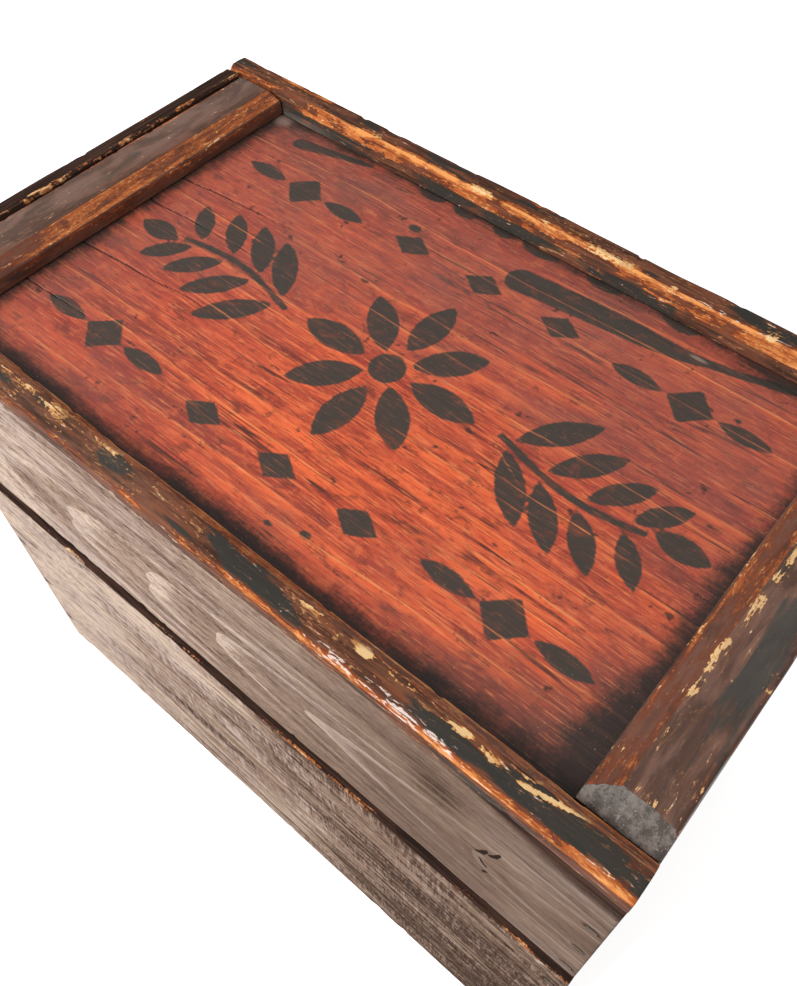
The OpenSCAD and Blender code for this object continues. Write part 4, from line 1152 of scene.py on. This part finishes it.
class DISPLAYBOX_OT_lid_boards(bpy.types.Operator):
    """Sides of the lid: planed boards, long ones along X and ends along Y, the back one cut for its hinges"""

    bl_idname = "displaybox.lid_boards"
    bl_label = "Lid boards"

    def execute(self, context):
        sizes, colours = context.scene.box_sizes, context.scene.box_colours
        heart, turn = (0.02, 0.068, -0.225), (0.0, 0.040, 0.120)
        wood = grey_board("planed front wood", "X", heart, turn, 0.0066, colours, False, 0.1)
        self.front(sizes, wood)
        self.back(sizes, wood)
        heart, turn = (-0.03, 0.0, -0.20), (0.02, 0.0, 0.025)
        wood = grey_board("planed end wood", "Y", heart, turn, 0.0056, colours, False, 0.5)
        self.ends(sizes, wood)
        return {"FINISHED"}

    def front(self, sizes, wood):
        """Front board: paler to the left, partly bleached and partly painted light, and under painted shade
        to the right, with a split knot and a dark band under the rail that widens to the right.
        """
        low, high = node_box("lid_front_board")
        extra = np.arange(128, 146, 0.4)
        board = cut_board("X", low, high, [1.0] * 4, [8, 28, 8, 190], 1.6, 1.0, extra)
        nails = corner_nails(LID_END_THICK, LID_NAIL_HEIGHTS)
        outer = aged_board(board, -1, 101, sizes, nails)
        x, z = board.along, board.b
        cracks = [
            ((132.7, 234.4), (134.7, 237.1), 0.3, 0.9),
            ((134.7, 237.1), (136.4, 242.4), 0.9, 0.4),
            ((137.5, 239.8), (139.5, 243.0), 0.4, 0.8),
            ((139.5, 243.0), (141.2, 248.9), 0.8, 0.4),
            ((134.2, 229.7), (135.5, 226.5), 0.2, 0.5),
            ((135.5, 226.5), (137.0, 225.4), 0.5, 0.5),
            ((136.3, 217.2), (137.7, 219.9), 0.4, 0.4),
        ]
        nearest = np.minimum.reduce([blob(x, z, *crack) for crack in cracks])
        knot = np.clip(1.0 - nearest / 0.6, 0, 2.2) * outer
        board.push(-0.03 * np.clip(knot, 0, 1))
        marks = [
            ((-180, 232.0), (-70.0, 226.0), 0.6, 1.2, 102),
            ((133, 234.0), (116.0, 235.0), 0.7, 1.2, 109),
            ((180, 262.0), (95.0, 266.0), 0.5, 1.0, 103),
        ]
        board.field("split", np.clip(0.75 * grooves(x, z, marks) * outer + knot, 0, 2.2))
        # A dark band under the rail, widening and darkening toward the right end, laid through rim_paint.
        depth = 4.0 + 24.0 * ramp(x, 100, 180)
        dark_band = ramp(z, high[2] - depth, high[2]) * (0.35 + 0.65 * ramp(x, 60, 160))
        board.field("rim_paint", outer * dark_band)
        clouds = [
            ((82, 268), (26, 22), 0.10),
            ((142, 232), (9, 8), 0.22),
            ((115, 260), (14, 15), 0.36),
        ]
        # Paler to the left: partly bleaching, partly painted light from the left.
        faded_and_lit = 0.495 - np.where(x < 0, 0.30, 0.08) * x / HALF_LENGTH
        board.field("bleach_and_light", faded_and_lit - spots(x, z, clouds) + 0.10 * ramp(x, -120, -178))
        # Painted shade, darker toward the right end.
        board.field("deep", 0.84 * ramp(x, -40, 140))
        tongues = bump(z, 228 + 8 * wander(x, 90.0, 108), 24)
        board.field("figure", 0.40 * tongues * (1 - 0.6 * ramp(x, 90, 130)))
        bare_piece("lid_front_planed", board, "lid_front_board", "lid", wood)

    def back(self, sizes, wood):
        """Back board: its lower edge bevelled to stop the lid, and sunk for the hinges."""
        low, high = node_box("lid_back_board")
        corners = box_corners(low, high, 1)
        corners[1:2] = [(BACK_STOP, low[2]), (high[1], low[2] + LID_STOP_RISE)]
        steps = [44, 12, 70, 8, 28]
        rounds = [0.4, 0.3, 0.8, 1.0, 0.8]
        board = cut_board("X", low, high, rounds, steps, 2.0, 1.0, hinge_ends(), corners=corners)
        aged_board(board, 1, 104, sizes, corner_nails(LID_END_THICK, LID_NAIL_HEIGHTS), (1, 2))
        hinge_seats(board, low[2], -1, sizes.leaf_seat / MM)
        board.field("bleach_and_light", 0.36 + 0.10 * drift([board.along, board.b], (120.0, 40.0), 105))
        bare_piece("lid_back_planed", board, "lid_back_board", "lid", wood)

    def ends(self, sizes, wood):
        """End boards: the left one's top edge is painted and shows beside its batten."""
        low, high = node_box("lid_left_end")
        strip = cut_board("Y", low, high, [1.0, 0.8, 1.0, 2.2], [6, 40, 16, 70], 0.9, 0.6)
        middle = sum(node_box("lid_panel"))[2] / 2
        nails = [(y, middle) for y in np.linspace(-76.7, 78.7, 4)]
        aged_board(strip, -1, 106, sizes, nails, (2,))
        strip.rub([2], sizes.board_wear / MM * 0.2, 1.2, 79)
        y, z = strip.along, strip.b
        top = ramp(z, high[2] - 11, high[2] - 9.5)
        drips = drift([y, z], (9.0, 4.0), 71) + 3.0 * ramp(z, high[2] - 11, high[2] - 6)
        strip.field("rim_paint", top * ramp(drips, 0.3, 1.0))
        patches = 0.5 + 0.5 * rough_drift([y, strip.edge * 37.0], (18.0, 9.0), 73)
        worn = (0.34 * strip.at_edge([2], 0.8) + 0.30 * strip.at_edge([3], 1.2)) * (0.4 + 0.9 * patches)
        flaked = bump(y, -27, 12) + 0.40 * bump(y, 36, 40)
        ragged = ramp(rough_drift([y, strip.a], (3.4, 1.3), 76), -0.25, 0.45)
        worn = worn + 0.66 * strip.at_edge([2], 1.9) * flaked * ragged
        strip.field("rim_wear", worn)
        strip.field("inside", ramp(strip.na, 0.5, 0.9) * (1 - top))
        strip.field("bleach_and_light", 0.40 + 0.12 * drift([y, z], (70.0, 30.0), 74))
        bare_piece("lid_left_end_worn", strip, "lid_left_end", "lid", wood)
        low, high = node_box("lid_right_end")
        strip = cut_board("Y", low, high, [0.8, 1.0, 0.5, 0.5], [6, 70, 6, 30], 1.8, 0.6)
        aged_board(strip, 1, 107, sizes, [])
        strip.field("bleach_and_light", 0.26 + 0.12 * drift([strip.along, strip.b], (70.0, 30.0), 75))
        bare_piece("lid_right_end_worn", strip, "lid_right_end", "lid", wood)


class DISPLAYBOX_OT_base_boards(bpy.types.Operator):
    """Sides and bottom of the base: rough-sawn boards whose rim is painted dark and rubbed along its edge"""

    bl_idname = "displaybox.base_boards"
    bl_label = "Base boards"

    def execute(self, context):
        sizes, colours = context.scene.box_sizes, context.scene.box_colours
        heart, turn = (0.03, 0.082, -0.060), (0.0, -0.030, 0.100)
        wood = grey_board("rough front wood", "X", heart, turn, 0.0072, colours, True, 0.2)
        self.front(sizes, wood)
        self.back(sizes, wood)
        self.bottoms(wood)
        heart, turn = (-0.05, 0.0, -0.11), (0.02, 0.0, 0.03)
        wood = grey_board("rough end wood", "Y", heart, turn, 0.0064, colours, True, 0.7)
        self.ends(sizes, wood)
        return {"FINISHED"}

    def front(self, sizes, wood):
        """Front board: paler at the left and darker at the right, partly bleaching and partly painted light,
        with long splits and pale splinters.
        """
        low, high = node_box("base_front_board")
        board = cut_board("X", low, high, [1.0] * 4, [8, 40, 18, 150], 1.6, 1.0)
        nails = corner_nails(BASE_END_THICK, BASE_NAIL_HEIGHTS)
        outer = aged_board(board, -1, 111, sizes, nails)
        x, z = board.along, board.b
        splits = [
            ((-170, 52.0), (10.0, 60.0), 0.7, 2.0, 112),
            ((60, 120.0), (175.0, 112.0), 0.7, 1.6, 113),
            ((-40, 146.0), (60.0, 150.0), 0.6, 1.8, 119),
        ]
        board.field("split", np.clip(grooves(x, z, splits) * outer, 0, 1))
        slivers = [((-98, 29.0), (9.0, 36.0), 1.1, 2.6, 114), ((-60, 96.0), (20.0, 103.0), 1.0, 2.2, 115)]
        pale = grooves(x, z, slivers) + 1.4 * line_groove(x, z, (84, 90.0), (128.0, 84.0), 1.2, 1.8, 116)
        board.field("splinter", np.clip(pale * outer * (0.6 + 0.6 * drift([x, z], (9.0, 2.0), 117)), 0, 1))
        painted_rim(board, high[2], 1, 3, 118)
        # Paler to the left, darker to the right: partly bleaching, partly painted light from the left.
        board.field("bleach_and_light", 0.47 - 0.46 * x / HALF_LENGTH + 0.36 * ramp(x, -90, -178))
        board.field("figure", 0.10 + 0.14 * drift([x, z], (110.0, 40.0), 120))
        bare_piece("base_front_rough", board, "base_front_board", "base", wood)

    def back(self, sizes, wood):
        """Back board: its upper edge bevelled to stop the lid, and sunk for the hinges."""
        low, high = node_box("base_back_board")
        corners = box_corners(low, high, 1)
        corners[2:3] = [(high[1], high[2] - BASE_STOP_DROP), (BACK_STOP, high[2])]
        steps = [8, 100, 16, 46, 40]
        rounds = [1.0, 1.0, 0.8, 0.3, 0.4]
        board = cut_board("X", low, high, rounds, steps, 2.0, 1.0, hinge_ends(), corners=corners)
        aged_board(board, 1, 121, sizes, corner_nails(BASE_END_THICK, BASE_NAIL_HEIGHTS), (2, 3))
        hinge_seats(board, high[2], 1, sizes.leaf_seat / MM)
        x, z = board.along, board.b
        splits = [((178, 70.0), (20.0, 78.0), 0.8, 2.2, 122), ((-178, 128.0), (-60.0, 122.0), 0.8, 1.6, 123)]
        board.field("split", np.clip(grooves(x, z, splits) * ramp(board.na, 0.5, 0.9), 0, 1))
        board.field("bleach_and_light", 0.34 + 0.16 * drift([x, z], (120.0, 50.0), 124))
        bare_piece("base_back_rough", board, "base_back_board", "base", wood)

    def ends(self, sizes, wood):
        """End boards, between the long ones."""
        nails = []
        for node in BOTTOM_BOARDS:
            low, high = node_box(node)
            nails += [(low[1] + 15, 6.0), (high[1] - 15, 6.0)]
        for node, side, seed in (("base_left_end", -1, 131), ("base_right_end", 1, 141)):
            low, high = node_box(node)
            steps = [8, 100, 10, 40] if side == 1 else [8, 40, 10, 100]
            board = cut_board("Y", low, high, [0.9] * 4, steps, 1.8, 0.5)
            outer = aged_board(board, side, seed, sizes, nails)
            y, z = board.along, board.b
            rise = 20 * side
            splits = [
                ((92, 104.0 + rise), (-20.0, 98.0 + rise), 0.8, 1.8, seed + 1),
                ((-92, 46.0), (10.0, 41.0), 0.7, 1.6, seed + 2),
            ]
            board.field("split", np.clip(grooves(y, z, splits) * outer, 0, 1))
            painted_rim(board, high[2], 1, 2 if side == 1 else 3, seed + 3)
            board.field("bleach_and_light", 0.32 - 0.08 * side + 0.16 * drift([y, z], (80.0, 40.0), seed + 4))
            bare_piece(f"{node}_rough", board, node, "base", wood)

    def bottoms(self, wood):
        """Bottom boards: yellowed inside, grey beneath."""
        for k, node in enumerate(BOTTOM_BOARDS):
            low, high = node_box(node)
            board = cut_board("X", low, high, [0.6] * 4, [30, 5, 30, 5], 3.0, 0.5)
            board.rub(range(4), 0.3, 1.5, 151 + k)
            board.push(-0.1 * (1 + drift([board.along, board.a], (60.0, 9.0), 154 + k)) * np.abs(board.nb))
            board.field("inside", ramp(board.nb, 0.3, 0.8))
            board.field("bleach_and_light", 0.30 + 0.10 * k)
            bare_piece(f"{node}_plain", board, node, "base", wood)


class DISPLAYBOX_OT_fittings(bpy.types.Operator):
    """Finishes of the nails, hinges, pins and screws, which are shown as the CAD made them"""

    bl_idname = "displaybox.fittings"
    bl_label = "Fittings"

    def execute(self, context):
        colours = context.scene.box_colours
        brown, rust = (0.10, 0.055, 0.034, 1), (0.17, 0.075, 0.035, 1)
        iron = plain_metal("rusted nail iron", colours.iron, brown, rust, 0.55, 0.35)
        dull, dirt = (0.26, 0.18, 0.085, 1), (0.09, 0.075, 0.045, 1)
        brass = plain_metal("dull hinge brass", colours.brass, dull, dirt, 0.38, 0.9)
        for name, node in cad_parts.items():
            if not node.hide_render:
                node.data.materials.clear()
                node.data.materials.append(iron if "nails" in name or "pin" in name else brass)
        return {"FINISHED"}


class DISPLAYBOX_OT_stage(bpy.types.Operator):
    """Pale floor, soft light and the camera of the photograph"""

    bl_idname = "displaybox.stage"
    bl_label = "Stage"

    def execute(self, context):
        scene = context.scene
        self.floor(scene)
        self.sky(scene)
        self.lamp("window light", (-0.24, -1.02, 1.00), (0.0, -0.05, 0.2), 0.36, 10.0)
        self.lamp("side light", (-0.85, -0.62, 0.62), (-0.05, -0.05, 0.18), 0.6, 4.0)
        self.camera(scene)
        scene.view_settings.view_transform = "Standard"
        return {"FINISHED"}

    def floor(self, scene):
        """A wide square just under the box, matt for light and white to the eye."""
        corners = np.array([[-4, -4, 0], [4, -4, 0], [4, 4, 0], [-4, 4, 0]], float) - [0, 0, 0.0004]
        mesh = bpy.data.meshes.new("floor")
        mesh.from_pydata(corners.tolist(), [], [(0, 1, 2, 3)])
        floor = bpy.data.objects.new("floor", mesh)
        scene.collection.objects.link(floor)
        f = Finish("pale floor")
        seen = f.seen(["Is Camera Ray", "Is Glossy Ray", "Is Transmission Ray"])
        glow = f.node("ShaderNodeEmission", {"Color": (1, 1, 1, 1), "Strength": f.times(seen, 0.72)})
        matt = f.node("ShaderNodeBsdfDiffuse", {"Color": (0.80, 0.80, 0.80, 1)})
        both = f.node("ShaderNodeAddShader", {0: matt.outputs[0], 1: glow.outputs[0]})
        f.node("ShaderNodeOutputMaterial", {"Surface": both.outputs[0]})
        mesh.materials.append(f.material)

    def sky(self, scene):
        """White to the eye, and about half as bright to the box."""
        scene.world = bpy.data.worlds.new("studio")
        n = Nodes(scene.world)
        inputs = {"Value": n.seen(["Is Camera Ray", "Is Transmission Ray"]), "To Min": 0.54, "To Max": 1.0}
        level = n.node("ShaderNodeMapRange", inputs)
        sky = n.node("ShaderNodeBackground", {"Color": (1, 1, 1, 1), "Strength": level.outputs[0]})
        n.node("ShaderNodeOutputWorld", {"Surface": sky.outputs[0]})

    def camera(self, scene):
        """The camera that sees the box's edges where the photograph has them."""
        camera = bpy.data.cameras.new("camera")
        camera.sensor_width = SENSOR
        camera.lens = FOCAL_PIXELS * SENSOR / PHOTO_HIGH
        camera.shift_x = (PHOTO_WIDE / 2 - PHOTO_CENTRE[0]) / PHOTO_HIGH
        camera.shift_y = (PHOTO_CENTRE[1] - PHOTO_HIGH / 2) / PHOTO_HIGH
        camera.clip_start = 0.01
        eye = bpy.data.objects.new("camera", camera)
        scene.collection.objects.link(eye)
        matrix = np.eye(4)
        matrix[:3, 0] = CAMERA_RIGHT
        matrix[:3, 1] = np.negative(CAMERA_DOWN)
        matrix[:3, 2] = np.negative(CAMERA_AHEAD)
        matrix[:3, 3] = CAMERA_PLACE
        eye.matrix_world = Matrix(matrix.tolist())
        scene.camera = eye

    def lamp(self, name, spot, aim, size, power):
        """A square soft light at a spot, turned to its aim."""
        light = bpy.data.lights.new(name, "AREA")
        light.size = size
        light.energy = power
        made = bpy.data.objects.new(name, light)
        bpy.context.scene.collection.objects.link(made)
        made.location = spot
        ahead = Vector(aim) - Vector(spot)
        made.rotation_euler = ahead.to_track_quat("-Z", "Y").to_euler()


class DISPLAYBOX_PT_panel(bpy.types.Panel):
    """Lists the pieces and the stage in the sidebar"""

    bl_idname = "DISPLAYBOX_PT_panel"
    bl_label = "Display box"
    bl_space_type = "VIEW_3D"
    bl_region_type = "UI"
    bl_category = "Display box"

    def draw(self, context):
        """Buttons for the operators, then every size and colour."""
        for operator in OPERATORS:
            self.layout.operator(operator.bl_idname)
        for group in (context.scene.box_sizes, context.scene.box_colours):
            for name in group.bl_rna.properties.keys():
                if name not in ("rna_type", "name"):
                    self.layout.prop(group, name)


OPERATORS = (
    DISPLAYBOX_OT_rails,
    DISPLAYBOX_OT_battens,
    DISPLAYBOX_OT_panel,
    DISPLAYBOX_OT_lid_boards,
    DISPLAYBOX_OT_base_boards,
    DISPLAYBOX_OT_fittings,
    DISPLAYBOX_OT_stage,
)
CLASSES = (BoxSizes, BoxColours, *OPERATORS, DISPLAYBOX_PT_panel)


def register():
    """Registers the classes and the sizes and colours that a scene holds."""
    for cls in CLASSES:
        bpy.utils.register_class(cls)
    bpy.types.Scene.box_sizes = PointerProperty(type=BoxSizes)
    bpy.types.Scene.box_colours = PointerProperty(type=BoxColours)


def unregister():
    """Takes back what register adds."""
    del bpy.types.Scene.box_colours
    del bpy.types.Scene.box_sizes
    for cls in reversed(CLASSES):
        bpy.utils.unregister_class(cls)


def main():
    """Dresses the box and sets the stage."""
    register()
    bpy.ops.displaybox.rails()
    bpy.ops.displaybox.battens()
    bpy.ops.displaybox.panel()
    bpy.ops.displaybox.lid_boards()
    bpy.ops.displaybox.base_boards()
    bpy.ops.displaybox.fittings()
    bpy.ops.displaybox.stage()


if __name__ == "__main__":
    main()
